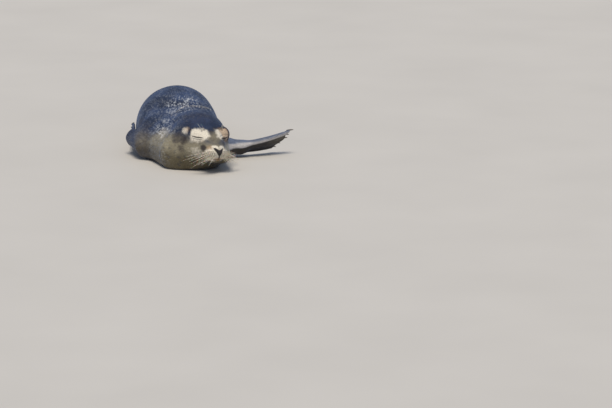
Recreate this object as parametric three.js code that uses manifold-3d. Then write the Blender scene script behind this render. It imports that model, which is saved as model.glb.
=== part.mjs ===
// Harbor seal asleep on its belly, life size: a still museum model, each solid in flesh without its hair.
// Millimetres. +Z up, +Y from the nose to the tail, +X to the seal's own left.
// Stations below are measured back from the nose tip; the finished solids are moved so that
// the origin lies on the floor under the middle of the belly.

import * as THREE from "three";
import Module from "manifold-3d";

const wasm = await Module();
wasm.setup();

// ------------------------------------------------------------------ driving dimensions

const GAP = 0.3; // clear space between neighbouring solids
const BELLY_Y = 430; // the origin's distance behind the nose tip

// The trunk is a loft of rounded sections across Y: middle line, half width, back and belly lines.
//                   throat neck shoulder chest belly loin  hips stock  tail
const STATIONS = [120, 165, 220, 300, 400, 520, 660, 780, 860];
const MIDDLE_X = spline(STATIONS, [40, 34, 24, 7, -3, -9, 0, 14, 22]);
const HALF_WIDTH = spline(STATIONS, [98, 110, 122, 134, 136, 129, 109, 75, 46]);
const BACK_Z = spline(STATIONS, [136, 143, 151, 164, 187, 190, 160, 112, 78]);
const BELLY_Z = spline(STATIONS, [-12, -14, -14, -14, -15, -14, -10, 0, 10]);
const WIDEST = 0.4; // height of the widest line, as a part of the section's height
const THROAT_CAP = 62; // how far the throat rounds off ahead of the first station
const TAIL_CAP = 34;

const NAPE = { at: [63, 196, 84], half: [86, 108, 84], yaw: 18 };

const HEAD_YAW = 26; // turned to the seal's left
const HEAD_PITCH = 3; // nose down
const HEAD_ROLL = 5; // left cheek down
const NOSE_AT = [131, 0, 77]; // the nose tip in the trunk's frame
const NOSE_IN_HEAD = [0, -98, -18]; // the same point from the middle of the skull
const EYE_IN_HEAD = [35.5, -34, 8.5]; // middle of the left eyeball
const EYE_OUT = unit([0.68, -0.62, 0.4]); // the way the left eye looks
// The head leans on its left cheek, so the fat there spreads out and lifts the brow above it.
const LEFT_CHEEK = { at: [43, -30, -46], half: [27, 42, 25] };
const LEFT_BROW = { at: [46, -12, 17], half: [25, 30, 25] };
const RIGHT_BROW = { at: [-44, -2, 6], half: [20, 28, 22] };

// Flippers: a blade of five webbed digits on a short arm. dir is along the digits, back is the side with hair.
const FORE = { length: 165, root: 52, tip: 84, thick: 11.5, thin: 5, scallop: 0.06, taper: 0.35 };
const FORE_REACH = spline([-1, -0.5, 0, 0.5, 1], [1, 0.98, 0.91, 0.81, 0.68]);
const FOLDED = { ...FORE, root: 50, tip: 60 }; // the right one, its digits closed along the flank
const HIND = { length: 162, root: 42, tip: 98, thick: 11, thin: 4.6, scallop: 0.1, taper: 0 };
const HIND_REACH = spline([-1, -0.5, 0, 0.5, 1], [1, 0.9, 0.85, 0.9, 1]);

const LEFT_ARM = { from: [110, 262, 42], r0: 42, r1: 21 };
const LEFT_WRIST = [198, 274, 33];
const LEFT_FRAME = bladeFrame([1, 0.24, 0.02], [0, 0.68, 0.74]);
const LEFT_LIFT = 0.16; // how much the blade curves up to its tip
const LEFT_CUT_X = 152;

const RIGHT_ARM = { from: [-98, 262, 53], r0: 49, r1: 22 };
const RIGHT_WRIST = [-147, 322, 57];
const RIGHT_FRAME = bladeFrame([-0.03, 1, -0.02], [-1, 0, 0.12]);
const RIGHT_CUT_X = -142.5;

const ANKLE = { x: 22, spread: 25, y: 892, z: 41, from: [30, 810, 48], r0: 36, r1: 18 };
const STOCK_CUT_Y = 882;
const TAIL = { at: [22, 908, 63], half: [19, 48, 10], pitch: -12 };

const FORE_CLAW = { length: 23, radius: 2.6, inset: 11 };
const HIND_CLAW = { length: 15, radius: 2.0, inset: 8 };
const CLAW_BEND = 0.28; // how far a claw's tip drops, as a part of its length

// ------------------------------------------------------------------ small vector and curve helpers

function unit(v) {
  const l = Math.hypot(v[0], v[1], v[2]);
  return [v[0] / l, v[1] / l, v[2] / l];
}

function dot(a, b) {
  return a[0] * b[0] + a[1] * b[1] + a[2] * b[2];
}

function cross(a, b) {
  return [a[1] * b[2] - a[2] * b[1], a[2] * b[0] - a[0] * b[2], a[0] * b[1] - a[1] * b[0]];
}

// p + a*s
function along(p, a, s) {
  return [p[0] + a[0] * s, p[1] + a[1] * s, p[2] + a[2] * s];
}

function minus(a, b) {
  return [a[0] - b[0], a[1] - b[1], a[2] - b[2]];
}

// Natural cubic spline through the knots, held level beyond its ends.
function spline(x, y) {
  const n = x.length;
  const m = new Array(n).fill(0);
  const c = new Array(n).fill(0);
  const d = new Array(n).fill(0);
  for (let i = 1; i < n - 1; i++) {
    const h0 = x[i] - x[i - 1];
    const h1 = x[i + 1] - x[i];
    const bend = 6 * ((y[i + 1] - y[i]) / h1 - (y[i] - y[i - 1]) / h0);
    const pivot = 2 * (h0 + h1) - h0 * c[i - 1];
    c[i] = h1 / pivot;
    d[i] = (bend - h0 * d[i - 1]) / pivot;
  }
  for (let i = n - 2; i > 0; i--) m[i] = d[i] - c[i] * m[i + 1];
  return (t) => {
    const s = Math.min(Math.max(t, x[0]), x[n - 1]);
    let i = 0;
    while (i < n - 2 && s > x[i + 1]) i++;
    const h = x[i + 1] - x[i];
    const a = (x[i + 1] - s) / h;
    const b = (s - x[i]) / h;
    return a * y[i] + b * y[i + 1] + (((a ** 3 - a) * m[i] + (b ** 3 - b) * m[i + 1]) * h * h) / 6;
  };
}

// Rows of a rotation: yaw about Z, then pitch about X, then roll about Y. Columns are the head's axes.
function rotation(yaw, pitch, roll) {
  const e = new THREE.Euler(
    THREE.MathUtils.degToRad(pitch),
    THREE.MathUtils.degToRad(roll),
    THREE.MathUtils.degToRad(yaw),
    "ZXY",
  );
  const m = new THREE.Matrix4().makeRotationFromEuler(e).elements;
  return { x: [m[0], m[1], m[2]], y: [m[4], m[5], m[6]], z: [m[8], m[9], m[10]] };
}

// Blade axes: x along the digits, y across from the first digit to the fifth, z to the blade's back.
function bladeFrame(dir, back) {
  const x = unit(dir);
  const z = unit(along(back, x, -dot(back, x)));
  return { x, y: cross(z, x), z };
}

function toLocal(p, origin, axes) {
  const d = minus(p, origin);
  return [dot(d, axes.x), dot(d, axes.y), dot(d, axes.z)];
}

function toWorld(q, origin, axes) {
  return along(along(along(origin, axes.x, q[0]), axes.y, q[1]), axes.z, q[2]);
}

// ------------------------------------------------------------------ form functions, negative inside

// Union with a fillet about k wide.
function blend(a, b, k) {
  const h = Math.min(Math.max(0.5 + (0.5 * (b - a)) / k, 0), 1);
  return b + (a - b) * h - k * h * (1 - h);
}

function ellipsoid(q, c, r) {
  const d = minus(q, c);
  const k0 = Math.hypot(d[0] / r[0], d[1] / r[1], d[2] / r[2]);
  const k1 = Math.hypot(d[0] / r[0] ** 2, d[1] / r[1] ** 2, d[2] / r[2] ** 2);
  return (k0 * (k0 - 1)) / Math.max(k1, 1e-6);
}

// A rod from a to b whose radius runs from ra to rb.
function limb(p, a, b, ra, rb) {
  const ab = minus(b, a);
  const t = Math.min(Math.max(dot(minus(p, a), ab) / dot(ab, ab), 0), 1);
  const d = minus(p, along(a, ab, t));
  return Math.hypot(d[0], d[1], d[2]) - (ra + (rb - ra) * t);
}

function trunk(p) {
  const y = Math.min(Math.max(p[1], STATIONS[0]), STATIONS[STATIONS.length - 1]);
  const low = BELLY_Z(y);
  const top = BACK_Z(y);
  const w = HALF_WIDTH(y);
  const zc = low + WIDEST * (top - low);
  const dx = p[0] - MIDDLE_X(y);
  const dy = p[1] - y;
  const dz = p[2] - zc;
  const h = dz > 0 ? top - zc : zc - low;
  const n = dz > 0 ? 2 : 3; // round over the back, squarer where the belly spreads on the floor
  const a = Math.abs(dx / w) + 1e-6;
  const b = Math.abs(dz / h) + 1e-6;
  const k = (a ** n + b ** n) ** (1 / n);
  const gx = (a / k) ** (n - 1) / w;
  const gz = (b / k) ** (n - 1) / h;
  const cap = dy < 0 ? THROAT_CAP : TAIL_CAP;
  const c = dy / cap;
  const kk = Math.hypot(k, c);
  return ((kk - 1) * kk) / Math.sqrt(k * k * (gx * gx + gz * gz) + (c / cap) ** 2);
}

const NAPE_AXES = rotation(NAPE.yaw, 0, 0);

function nape(p) {
  return ellipsoid(toLocal(p, NAPE.at, NAPE_AXES), [0, 0, 0], NAPE.half);
}

const HEAD_AXES = rotation(HEAD_YAW, HEAD_PITCH, HEAD_ROLL);
const HEAD_AT = toWorld(NOSE_IN_HEAD.map((v) => -v), NOSE_AT, HEAD_AXES);

function skull(q) {
  let f = ellipsoid(q, [0, 16, 1], [63, 84, 48]); // braincase
  f = blend(f, ellipsoid(q, [0, 16, -32], [69, 80, 44]), 30); // jaws and cheeks
  return blend(f, ellipsoid(q, [0, -46, -21], [37, 48, 30]), 20); // bridge of the muzzle
}

function withFace(q, body) {
  let f = blend(body, ellipsoid(q, LEFT_CHEEK.at, LEFT_CHEEK.half), 20);
  f = blend(f, ellipsoid(q, LEFT_BROW.at, LEFT_BROW.half), 11);
  f = blend(f, ellipsoid(q, RIGHT_BROW.at, RIGHT_BROW.half), 16);
  for (const s of [-1, 1]) {
    f = blend(f, ellipsoid(q, [s * 17, -70, -31], [23, 25, 18]), 12); // whisker pads
    f = blend(f, ellipsoid(q, [s * EYE_IN_HEAD[0], EYE_IN_HEAD[1], EYE_IN_HEAD[2]], [15.5, 15.5, 13.5]), 6);
  }
  f = blend(f, ellipsoid(q, [0, -83, -18], [15, 14, 12]), 10); // nose
  return blend(f, ellipsoid(q, [0, -56, -50], [25, 33, 14]), 12); // lower jaw and chin
}

// Half width, digit end and half thickness of a blade where x is along it and y across it.
function bladeAt(b, reach, x, y) {
  const t = Math.min(Math.max(x / b.length, 0), 1);
  const w = 0.5 * b.root + 0.5 * (b.tip - b.root) * (1 - (1 - t) ** 1.6);
  const u = Math.min(Math.max(y / w, -1.15), 1.15);
  const ray = 0.5 + 0.5 * Math.cos(2 * Math.PI * (u + 1)); // 1 on a digit, 0 on the web
  const end = b.length * reach(u) * (1 - b.scallop * (1 - ray));
  const thick = b.thick + (b.thin - b.thick) * t;
  return { w, end, r: Math.max(thick * (1 - 0.5 * b.taper * (u + 1)) * (0.84 + 0.16 * ray), 2) };
}

function blade(b, reach, q, lift) {
  const z = q[2] - (lift * Math.max(q[0], 0) ** 2) / b.length;
  const { w, end, r } = bladeAt(b, reach, q[0], q[1]);
  const ex = Math.max(q[0] - end + r, -q[0], 0);
  const ey = Math.max(Math.abs(q[1]) - w + r, 0);
  return 0.9 * (Math.hypot(ex, ey, z) - r);
}

function foreLeft(p) {
  const f = blade(FORE, FORE_REACH, toLocal(p, LEFT_WRIST, LEFT_FRAME), LEFT_LIFT);
  return blend(f, limb(p, LEFT_ARM.from, LEFT_WRIST, LEFT_ARM.r0, LEFT_ARM.r1), 24);
}

function rightArm(p) {
  return limb(p, RIGHT_ARM.from, RIGHT_WRIST, RIGHT_ARM.r0, RIGHT_ARM.r1);
}

function foreRight(p) {
  const q = toLocal(p, RIGHT_WRIST, RIGHT_FRAME);
  return blend(blade(FOLDED, FORE_REACH, [q[0], -q[1], q[2]], 0), rightArm(p), 18);
}

function hindFrame(s) {
  return {
    at: [ANKLE.x + s * ANKLE.spread, ANKLE.y, ANKLE.z],
    axes: bladeFrame([0.2 * s, 1, -0.01], [s, 0, 0.8]),
  };
}

const HIND_FRAMES = { 1: hindFrame(1), "-1": hindFrame(-1) };

function hind(p, s) {
  const { at, axes } = HIND_FRAMES[s];
  const q = toLocal(p, at, axes);
  const f = blade(HIND, HIND_REACH, [q[0], s * q[1], q[2]], 0);
  const knee = [ANKLE.x - 4 + s * ANKLE.from[0], ANKLE.from[1], ANKLE.from[2]];
  return blend(f, limb(p, knee, at, ANKLE.r0, ANKLE.r1), 18);
}

const TAIL_AXES = rotation(0, TAIL.pitch, 0);

function tail(p) {
  return ellipsoid(toLocal(p, TAIL.at, TAIL_AXES), [0, 0, 0], TAIL.half);
}

// The whole seal as one form.
function seal(p) {
  const q = toLocal(p, HEAD_AT, HEAD_AXES);
  let f = blend(trunk(p), nape(p), 40);
  f = withFace(q, blend(f, skull(q), 48));
  f = blend(f, foreLeft(p), 20);
  f = blend(blend(f, rightArm(p), 22), foreRight(p), 5);
  f = blend(blend(f, hind(p, 1), 16), hind(p, -1), 16);
  return blend(f, tail(p), 12);
}

// ------------------------------------------------------------------ meshing: rings of rays shrunk on to a form

// First point along the ray from c, which lies inside, where the form ends.
function hit(form, c, d) {
  let inside = 0;
  let t = 0;
  let f = form(c);
  while (f < 0) {
    inside = t;
    t += Math.max(-0.8 * f, 0.6);
    f = form(along(c, d, t));
  }
  let outside = t;
  for (let i = 0; i < 30; i++) {
    const mid = 0.5 * (inside + outside);
    if (form(along(c, d, mid)) < 0) inside = mid;
    else outside = mid;
  }
  return along(c, d, 0.5 * (inside + outside));
}

// rings: { at, along, up, tilt, stretch }. tilt leans the rays along the axis, towards the end caps.
function wrap(form, rings, angles) {
  const points = [];
  const n = angles.length;
  for (const r of rings) {
    const side = cross(r.up, r.along);
    const tilt = THREE.MathUtils.degToRad(r.tilt ?? 0);
    for (const a of angles) {
      const flat = unit(along(along([0, 0, 0], side, (r.stretch ?? 1) * Math.cos(a)), r.up, Math.sin(a)));
      const d = along(along([0, 0, 0], flat, Math.cos(tilt)), r.along, Math.sin(tilt));
      points.push(hit(form, r.at, d));
    }
  }
  const first = rings[0];
  const last = rings[rings.length - 1];
  const start = points.push(hit(form, first.at, first.along.map((v) => -v))) - 1;
  const end = points.push(hit(form, last.at, last.along)) - 1;
  const faces = [];
  for (let j = 0; j < n; j++) {
    const k = (j + 1) % n;
    faces.push(start, k, j);
    for (let i = 0; i < rings.length - 1; i++) {
      const [a, b, c, d] = [i * n + j, i * n + k, (i + 1) * n + k, (i + 1) * n + j];
      faces.push(a, b, c, a, c, d);
    }
    faces.push(end, (rings.length - 1) * n + j, (rings.length - 1) * n + k);
  }
  return solid(points.flat(), faces);
}

// Ray angles, closer together where weight is larger.
function spread(count, weight) {
  const steps = 3600;
  const sums = [0];
  for (let i = 0; i < steps; i++) sums.push(sums[i] + weight(((i + 0.5) / steps) * 2 * Math.PI));
  const angles = [];
  let i = 0;
  for (let j = 0; j < count; j++) {
    while (sums[i + 1] < (sums[steps] * j) / count) i++;
    angles.push((i / steps) * 2 * Math.PI);
  }
  return angles;
}

function evenly(from, to, count) {
  return Array.from({ length: count }, (_, i) => from + ((to - from) * i) / Math.max(count - 1, 1));
}

// ------------------------------------------------------------------ solids

function solid(vertices, faces) {
  return new wasm.Manifold(
    new wasm.Mesh({ numProp: 3, vertProperties: new Float32Array(vertices), triVerts: new Uint32Array(faces) }),
  );
}

function fromGeometry(geometry) {
  const g = new THREE.BufferGeometry();
  g.setAttribute("position", geometry.getAttribute("position"));
  const merged = [];
  const index = [];
  const seen = new Map();
  const p = g.getAttribute("position");
  const source = geometry.index ? geometry.index.array : evenly(0, p.count - 1, p.count);
  for (const i of source) {
    const key = [p.getX(i), p.getY(i), p.getZ(i)].map((v) => v.toFixed(4)).join();
    if (!seen.has(key)) {
      seen.set(key, merged.length / 3);
      merged.push(p.getX(i), p.getY(i), p.getZ(i));
    }
    index.push(seen.get(key));
  }
  return solid(merged, index);
}

// A box with a corner-to-corner extent, in the given axes about an origin.
function box(low, high, origin = [0, 0, 0], axes = rotation(0, 0, 0)) {
  const g = new THREE.BoxGeometry(high[0] - low[0], high[1] - low[1], high[2] - low[2]);
  g.translate((low[0] + high[0]) / 2, (low[1] + high[1]) / 2, (low[2] + high[2]) / 2);
  const m = new THREE.Matrix4().makeBasis(
    new THREE.Vector3(...axes.x),
    new THREE.Vector3(...axes.y),
    new THREE.Vector3(...axes.z),
  );
  g.applyMatrix4(m.setPosition(...origin));
  return fromGeometry(g);
}

function ball(centre, radius, stretch = [1, 1, 1], axes = rotation(0, 0, 0)) {
  const g = new THREE.IcosahedronGeometry(radius, 2);
  g.scale(...stretch);
  const m = new THREE.Matrix4().makeBasis(
    new THREE.Vector3(...axes.x),
    new THREE.Vector3(...axes.y),
    new THREE.Vector3(...axes.z),
  );
  g.applyMatrix4(m.setPosition(...centre));
  return fromGeometry(g);
}

const FAR = 1500;
const floorCut = box([-FAR, -FAR, -FAR], [FAR, FAR, 0]);

// Everything behind (side 1) or ahead (side -1) of a plane across the body, half a gap clear of it.
function beyond(point, yaw, side) {
  const low = side > 0 ? [-FAR, GAP / 2, -FAR] : [-FAR, -FAR, -FAR];
  const high = side > 0 ? [FAR, FAR, FAR] : [FAR, -GAP / 2, FAR];
  return box(low, high, point, rotation(yaw, 0, 0));
}

// ------------------------------------------------------------------ the body from nose to stock, as one wrap

const inHead = (q) => toWorld(q, HEAD_AT, HEAD_AXES);
const spine = new THREE.CatmullRomCurve3(
  [
    inHead([0, -56, -26]),
    inHead([0, -6, -22]),
    [60, 175, 74],
    [27, 262, 74],
    [3, 350, 76],
    [-2, 450, 78],
    [0, 560, 76],
    [6, 660, 66],
    [15, 760, 52],
    [21, 868, 44],
  ].map((p) => new THREE.Vector3(...p)),
  false,
  "centripetal",
);

// Ring of perpendicular rays about the spine, t of the way along it.
function spineRing(t) {
  const heading = spine.getTangentAt(t);
  return {
    at: spine.getPointAt(t).toArray(),
    along: unit([heading.x, heading.y, 0]),
    up: [0, 0, 1],
  };
}

const muzzle = spineRing(0);
const stock = spineRing(1);
const bodyRings = [
  ...evenly(-80, -10, 8).map((tilt) => ({ ...muzzle, tilt })),
  ...evenly(0, 0.125, 12).map(spineRing),
  ...evenly(0.145, 0.23, 5).map(spineRing),
  ...evenly(0.25, 0.395, 12).map(spineRing),
  ...evenly(0.425, 0.77, 12).map(spineRing),
  ...evenly(0.8, 1, 8).map(spineRing),
  ...evenly(30, 65, 2).map((tilt) => ({ ...stock, tilt })),
];

// Where the flippers leave the flanks and stock the wrap stops just past their cuts.
function bodyForm(p) {
  const left = Math.min(p[0] - LEFT_CUT_X - 4, p[1] - 205);
  const right = Math.min(RIGHT_CUT_X - 4 - p[0], p[1] - 205);
  return Math.max(seal(p), left, right, p[1] - STOCK_CUT_Y - 4);
}

const flank = THREE.MathUtils.degToRad(-20);
function flankWeight(a) {
  const left = Math.cos(a - (Math.PI - flank));
  const right = Math.cos(a - flank);
  return 1 + 0.9 * Math.exp(-8 * (1 - left)) + 0.9 * Math.exp(-8 * (1 - right));
}

const body = wrap(bodyForm, bodyRings, spread(36, flankWeight))
  .subtract(floorCut)
  .subtract(box([LEFT_CUT_X, 205, -FAR], [FAR, 600, FAR]))
  .subtract(box([-FAR, 205, -FAR], [RIGHT_CUT_X, 600, FAR]))
  .subtract(box([-FAR, STOCK_CUT_Y, -FAR], [FAR, FAR, FAR]));

// Cuts across the body: the neck's ends, the chest's and the belly's.
const CUTS = {
  nape: { at: [66, 158, 0], yaw: 22 },
  shoulder: { at: [24, 238, 0], yaw: 10 },
  ribs: { at: [0, 400, 0], yaw: 0 },
  loin: { at: [0, 630, 0], yaw: 0 },
};

function between(a, b) {
  let s = body;
  if (a) s = s.intersect(beyond(CUTS[a].at, CUTS[a].yaw, 1));
  if (b) s = s.intersect(beyond(CUTS[b].at, CUTS[b].yaw, -1));
  return s;
}

// ------------------------------------------------------------------ head pieces

const JAW_AXES = rotation(HEAD_YAW, HEAD_PITCH + 5, HEAD_ROLL);
const JAW_AT = inHead([0, -90, -46]);
const jawCut = box([-48, -40, -60], [48, 58, 0], JAW_AT, JAW_AXES);
const jawClear = box([-48 - GAP, -40, -60], [48 + GAP, 58 + GAP, GAP], JAW_AT, JAW_AXES);

function eyeBall(side, clear) {
  const centre = EYE_IN_HEAD.map((v, i) => v + 7 * EYE_OUT[i]);
  return ball(inHead([side * centre[0], centre[1], centre[2]]), 12.5 + clear);
}

function nosePad(clear) {
  return ball(inHead([0, -97, -16]), 10 + clear, [1.5, 1, 1], HEAD_AXES);
}

const headBlock = between(null, "nape");
const head = headBlock
  .subtract(jawClear)
  .subtract(eyeBall(1, GAP))
  .subtract(eyeBall(-1, GAP))
  .subtract(nosePad(GAP));

// ------------------------------------------------------------------ flippers, tail and claws

const bladeAngles = spread(16, () => 1);

// Rings along a blade: the arm's end, the straight part, then a fan round the digits' ends.
function bladeRings(origin, frame, b, lift, from) {
  const at = (x) => toWorld([x, 0, (lift * x * x) / b.length], origin, frame);
  const ring = (x, stretch, tilt) => ({ at: at(x), along: frame.x, up: frame.z, stretch, tilt });
  const fan = 0.66 * b.length;
  return [
    ...evenly(-60, -15, 3).map((tilt) => ring(from, 1.6, tilt)),
    ...evenly(from, fan, 9).map((x) => ring(x, 1.6 + (2.4 * (x - from)) / (fan - from), 0)),
    ...evenly(10, 80, 8).map((tilt) => ring(fan, 4, tilt)),
  ];
}

const tailForm = (p, iso) => Math.max(tail(p) - iso, STOCK_CUT_Y - 2 - p[1]);
const tailAxis = { along: TAIL_AXES.y, up: TAIL_AXES.z, stretch: 1.8 };
const tailRings = [
  ...evenly(-60, -20, 2).map((tilt) => ({ ...tailAxis, at: along(TAIL.at, TAIL_AXES.y, -16), tilt })),
  ...evenly(-16, 18, 5).map((s) => ({ ...tailAxis, at: along(TAIL.at, TAIL_AXES.y, s), tilt: 0 })),
  ...evenly(20, 70, 4).map((tilt) => ({ ...tailAxis, at: along(TAIL.at, TAIL_AXES.y, 18), tilt })),
];

function tailWrap(iso) {
  return wrap((p) => tailForm(p, iso), tailRings, spread(16, () => 1));
}

const stockClear = box([-FAR, STOCK_CUT_Y + GAP, -FAR], [FAR, FAR, FAR]);
const tailSolid = tailWrap(0).intersect(stockClear).subtract(floorCut);

const FLIPPERS = {
  fore_left: {
    form: (p) => Math.max(seal(p), LEFT_CUT_X - 4 - p[0]),
    rings: bladeRings(LEFT_WRIST, LEFT_FRAME, FORE, LEFT_LIFT, -26),
    keep: box([LEFT_CUT_X + GAP, -FAR, -FAR], [FAR, FAR, FAR]),
    place: (q) => toWorld([q[0], q[1], q[2] + (LEFT_LIFT * q[0] ** 2) / FORE.length], LEFT_WRIST, LEFT_FRAME),
    shape: FORE,
    reach: FORE_REACH,
    claw: FORE_CLAW,
    lift: LEFT_LIFT,
  },
  fore_right: {
    form: (p) => Math.max(seal(p), p[0] - RIGHT_CUT_X - 0.8),
    rings: bladeRings(RIGHT_WRIST, RIGHT_FRAME, FOLDED, 0, -6),
    keep: box([-FAR, -FAR, -FAR], [RIGHT_CUT_X - GAP, FAR, FAR]),
    place: (q) => toWorld([q[0], -q[1], q[2]], RIGHT_WRIST, RIGHT_FRAME),
    shape: FOLDED,
    reach: FORE_REACH,
    claw: FORE_CLAW,
    lift: 0,
  },
  hind_left: hindFlipper(1),
  hind_right: hindFlipper(-1),
};

function hindFlipper(s) {
  const { at, axes } = HIND_FRAMES[s];
  const middle = ANKLE.x + (s * GAP) / 2;
  const low = s > 0 ? [middle, STOCK_CUT_Y + GAP, -FAR] : [-FAR, STOCK_CUT_Y + GAP, -FAR];
  const high = s > 0 ? [FAR, FAR, FAR] : [middle, FAR, FAR];
  return {
    form: (p) => Math.max(hind(p, s), STOCK_CUT_Y - 4 - p[1]),
    rings: bladeRings(at, axes, HIND, 0, 2),
    keep: box(low, high).subtract(tailWrap(GAP)),
    place: (q) => toWorld([q[0], s * q[1], q[2]], at, axes),
    shape: HIND,
    reach: HIND_REACH,
    claw: HIND_CLAW,
    lift: 0,
  };
}

function flipperWrap(f, iso) {
  return wrap((p) => f.form(p) - iso, f.rings, bladeAngles);
}

// A bent horn of five rings on the back of digit u, its root let into the skin and cut clear of it.
function claw(f, u) {
  const sides = 6;
  const { length, radius, inset } = f.claw;
  const { w } = bladeAt(f.shape, f.reach, f.shape.length * f.reach(u), 0);
  const y = u * (w - 5);
  const { end, r } = bladeAt(f.shape, f.reach, f.shape.length * f.reach(u), y);
  const splay = u * 0.16;
  const centre = (s) => {
    const x = end - inset + s * length;
    return [x, y + splay * s * length, 0.55 * r + radius * 0.6 - CLAW_BEND * length * s * s];
  };
  const points = [];
  const stations = [0, 0.25, 0.5, 0.75, 0.92];
  for (const s of stations) {
    const c = centre(s);
    const width = radius * Math.sqrt(1 - s) * 0.95 + 0.25;
    for (let j = 0; j < sides; j++) {
      const a = (2 * Math.PI * j) / sides;
      points.push(f.place([c[0], c[1] + width * Math.cos(a), c[2] + 1.25 * width * Math.sin(a)]));
    }
  }
  const root = points.push(f.place(centre(0))) - 1;
  const tip = points.push(f.place(centre(1))) - 1;
  const faces = [];
  const last = (stations.length - 1) * sides;
  for (let j = 0; j < sides; j++) {
    const k = (j + 1) % sides;
    faces.push(root, k, j);
    for (let i = 0; i < stations.length - 1; i++) {
      const [a, b, c, d] = [i * sides + j, i * sides + k, (i + 1) * sides + k, (i + 1) * sides + j];
      faces.push(a, b, c, a, c, d);
    }
    faces.push(tip, last + j, last + k);
  }
  const horn = solid(points.flat(), faces);
  if (horn.volume() > 0) return horn;
  const turned = faces.map((_, i) => faces[3 * Math.floor(i / 3) + 2 - (i % 3)]); // a mirrored flipper's
  return solid(points.flat(), turned);
}

// The largest piece of a cut, without crumbs.
function main(s) {
  return s.decompose().sort((a, b) => b.volume() - a.volume())[0];
}

// ------------------------------------------------------------------ the group of named nodes

const group = new THREE.Group();
group.name = "harbor_seal";

function add(name, s, color, roughness) {
  const mesh = main(s).getMesh();
  const g = new THREE.BufferGeometry();
  const stride = mesh.numProp;
  const position = new Float32Array((mesh.vertProperties.length / stride) * 3);
  for (let i = 0; i < position.length / 3; i++) {
    for (let a = 0; a < 3; a++) position[3 * i + a] = mesh.vertProperties[stride * i + a];
  }
  g.setAttribute("position", new THREE.BufferAttribute(position, 3));
  g.setIndex(new THREE.BufferAttribute(new Uint32Array(mesh.triVerts), 1));
  g.translate(0, -BELLY_Y, 0);
  g.computeVertexNormals();
  const material = new THREE.MeshStandardMaterial({ color, roughness, metalness: 0 });
  const node = new THREE.Mesh(g, material);
  node.name = name;
  group.add(node);
}

add("head", head, 0x8c8270, 0.75);
add("lower_jaw", headBlock.intersect(jawCut), 0x7d705a, 0.75);
add("eye_left", headBlock.intersect(eyeBall(1, 0)), 0xcdbd9f, 0.6);
add("eye_right", headBlock.intersect(eyeBall(-1, 0)), 0xd8cbb0, 0.6);
add("nose", headBlock.intersect(nosePad(0)), 0x2b2729, 0.45);
add("neck", between("nape", "shoulder"), 0x77736c, 0.75);
add("shoulders", between("shoulder", "ribs"), 0x5f6672, 0.7);
add("belly", between("ribs", "loin"), 0x555f70, 0.7);
add("hips", between("loin", null), 0x4f596a, 0.7);
add("tail", tailSolid, 0x4a5261, 0.7);

for (const [name, f] of Object.entries(FLIPPERS)) {
  const limbSolid = flipperWrap(f, 0).intersect(f.keep).subtract(floorCut);
  const clear = flipperWrap(f, GAP);
  const [which, side] = name.split("_");
  add(`${which}_flipper_${side}`, limbSolid, 0x59606c, 0.7);
  for (const [i, u] of [-1, -0.5, 0, 0.5, 1].entries()) {
    add(`${which}_claw_${side}_${i + 1}`, claw(f, u).subtract(clear), 0x2e2a27, 0.4);
  }
}

export default group;
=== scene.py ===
# %% [markdown]
# # A harbor seal asleep on its belly, life size
#
# This is the animal as a museum would cast it: a seal of a few months lies on its belly, the head turned
# to its own left, the eyes closed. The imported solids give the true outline. Here one skin takes the place
# of all the flesh, and the short flat coat, the whiskers, claws, nose leather and eyes go on it.
#
# All shaping is done in millimetres, measured back from the nose tip. The last step of each mesh turns
# that into the scene's metres, whose origin is on the floor under the belly.

# %% Load the frame
import math

import bmesh
import bpy
import numpy as np
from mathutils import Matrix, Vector
from mathutils.bvhtree import BVHTree


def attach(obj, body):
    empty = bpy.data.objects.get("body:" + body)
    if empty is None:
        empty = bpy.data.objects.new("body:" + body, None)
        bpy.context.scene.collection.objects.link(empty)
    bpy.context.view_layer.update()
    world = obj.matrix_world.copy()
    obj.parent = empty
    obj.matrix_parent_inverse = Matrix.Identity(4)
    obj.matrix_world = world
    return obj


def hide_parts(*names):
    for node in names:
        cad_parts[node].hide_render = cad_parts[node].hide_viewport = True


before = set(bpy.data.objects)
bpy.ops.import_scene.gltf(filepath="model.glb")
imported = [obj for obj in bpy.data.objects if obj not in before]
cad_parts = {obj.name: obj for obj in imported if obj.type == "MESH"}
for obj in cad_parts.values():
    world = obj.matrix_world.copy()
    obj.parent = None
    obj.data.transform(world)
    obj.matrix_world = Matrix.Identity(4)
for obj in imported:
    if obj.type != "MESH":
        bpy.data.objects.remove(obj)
bpy.context.view_layer.update()
BELLY_Y = 430.0  # mm from the nose tip back to the origin
rng = np.random.default_rng(20260)


def metres(p):
    """Points in millimetres behind the nose tip, as metres in the scene."""
    return (np.asarray(p, float) - (0, BELLY_Y, 0)) * 0.001


# %% [markdown]
# ## Camera
#
# The view is that of a long lens from about ten metres, a little above the animal. A long lens keeps the
# head and the body behind it at nearly the same scale, so the seal looks foreshortened but not distorted.

# %% Camera
LENS_MM = 188
CAMERA_AT = (0.131, -10.2292, 2.0707)
LOOK_DOWN, LOOK_RIGHT = 12.4543, 1.5855  # degrees
FILM_MM, SEEN_TO = 36, 200  # width of the film, and metres to the farthest thing drawn

camera = bpy.data.objects.new("camera", bpy.data.cameras.new("long_lens"))
camera.data.lens = LENS_MM
camera.data.sensor_width = FILM_MM
camera.data.clip_end = SEEN_TO
camera.location = CAMERA_AT
camera.rotation_euler = (math.radians(90 - LOOK_DOWN), 0, math.radians(-LOOK_RIGHT))
bpy.context.scene.collection.objects.link(camera)
bpy.context.scene.camera = camera
print("camera", CAMERA_AT, "lens", LENS_MM, "mm")

# %% [markdown]
# ## The body as one formula
#
# A seal's body has no hard edges: head, neck and trunk run into each other under a thick layer of fat.
# Sculpted meshes or joined tubes would show seams where the limbs leave the body. So the flesh is a
# distance formula, negative inside: simple ellipsoids, rods and blades joined by soft blends. It repeats
# the formula of the solids with the same sizes, so the skin can be laid at any depth inside them.

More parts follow.
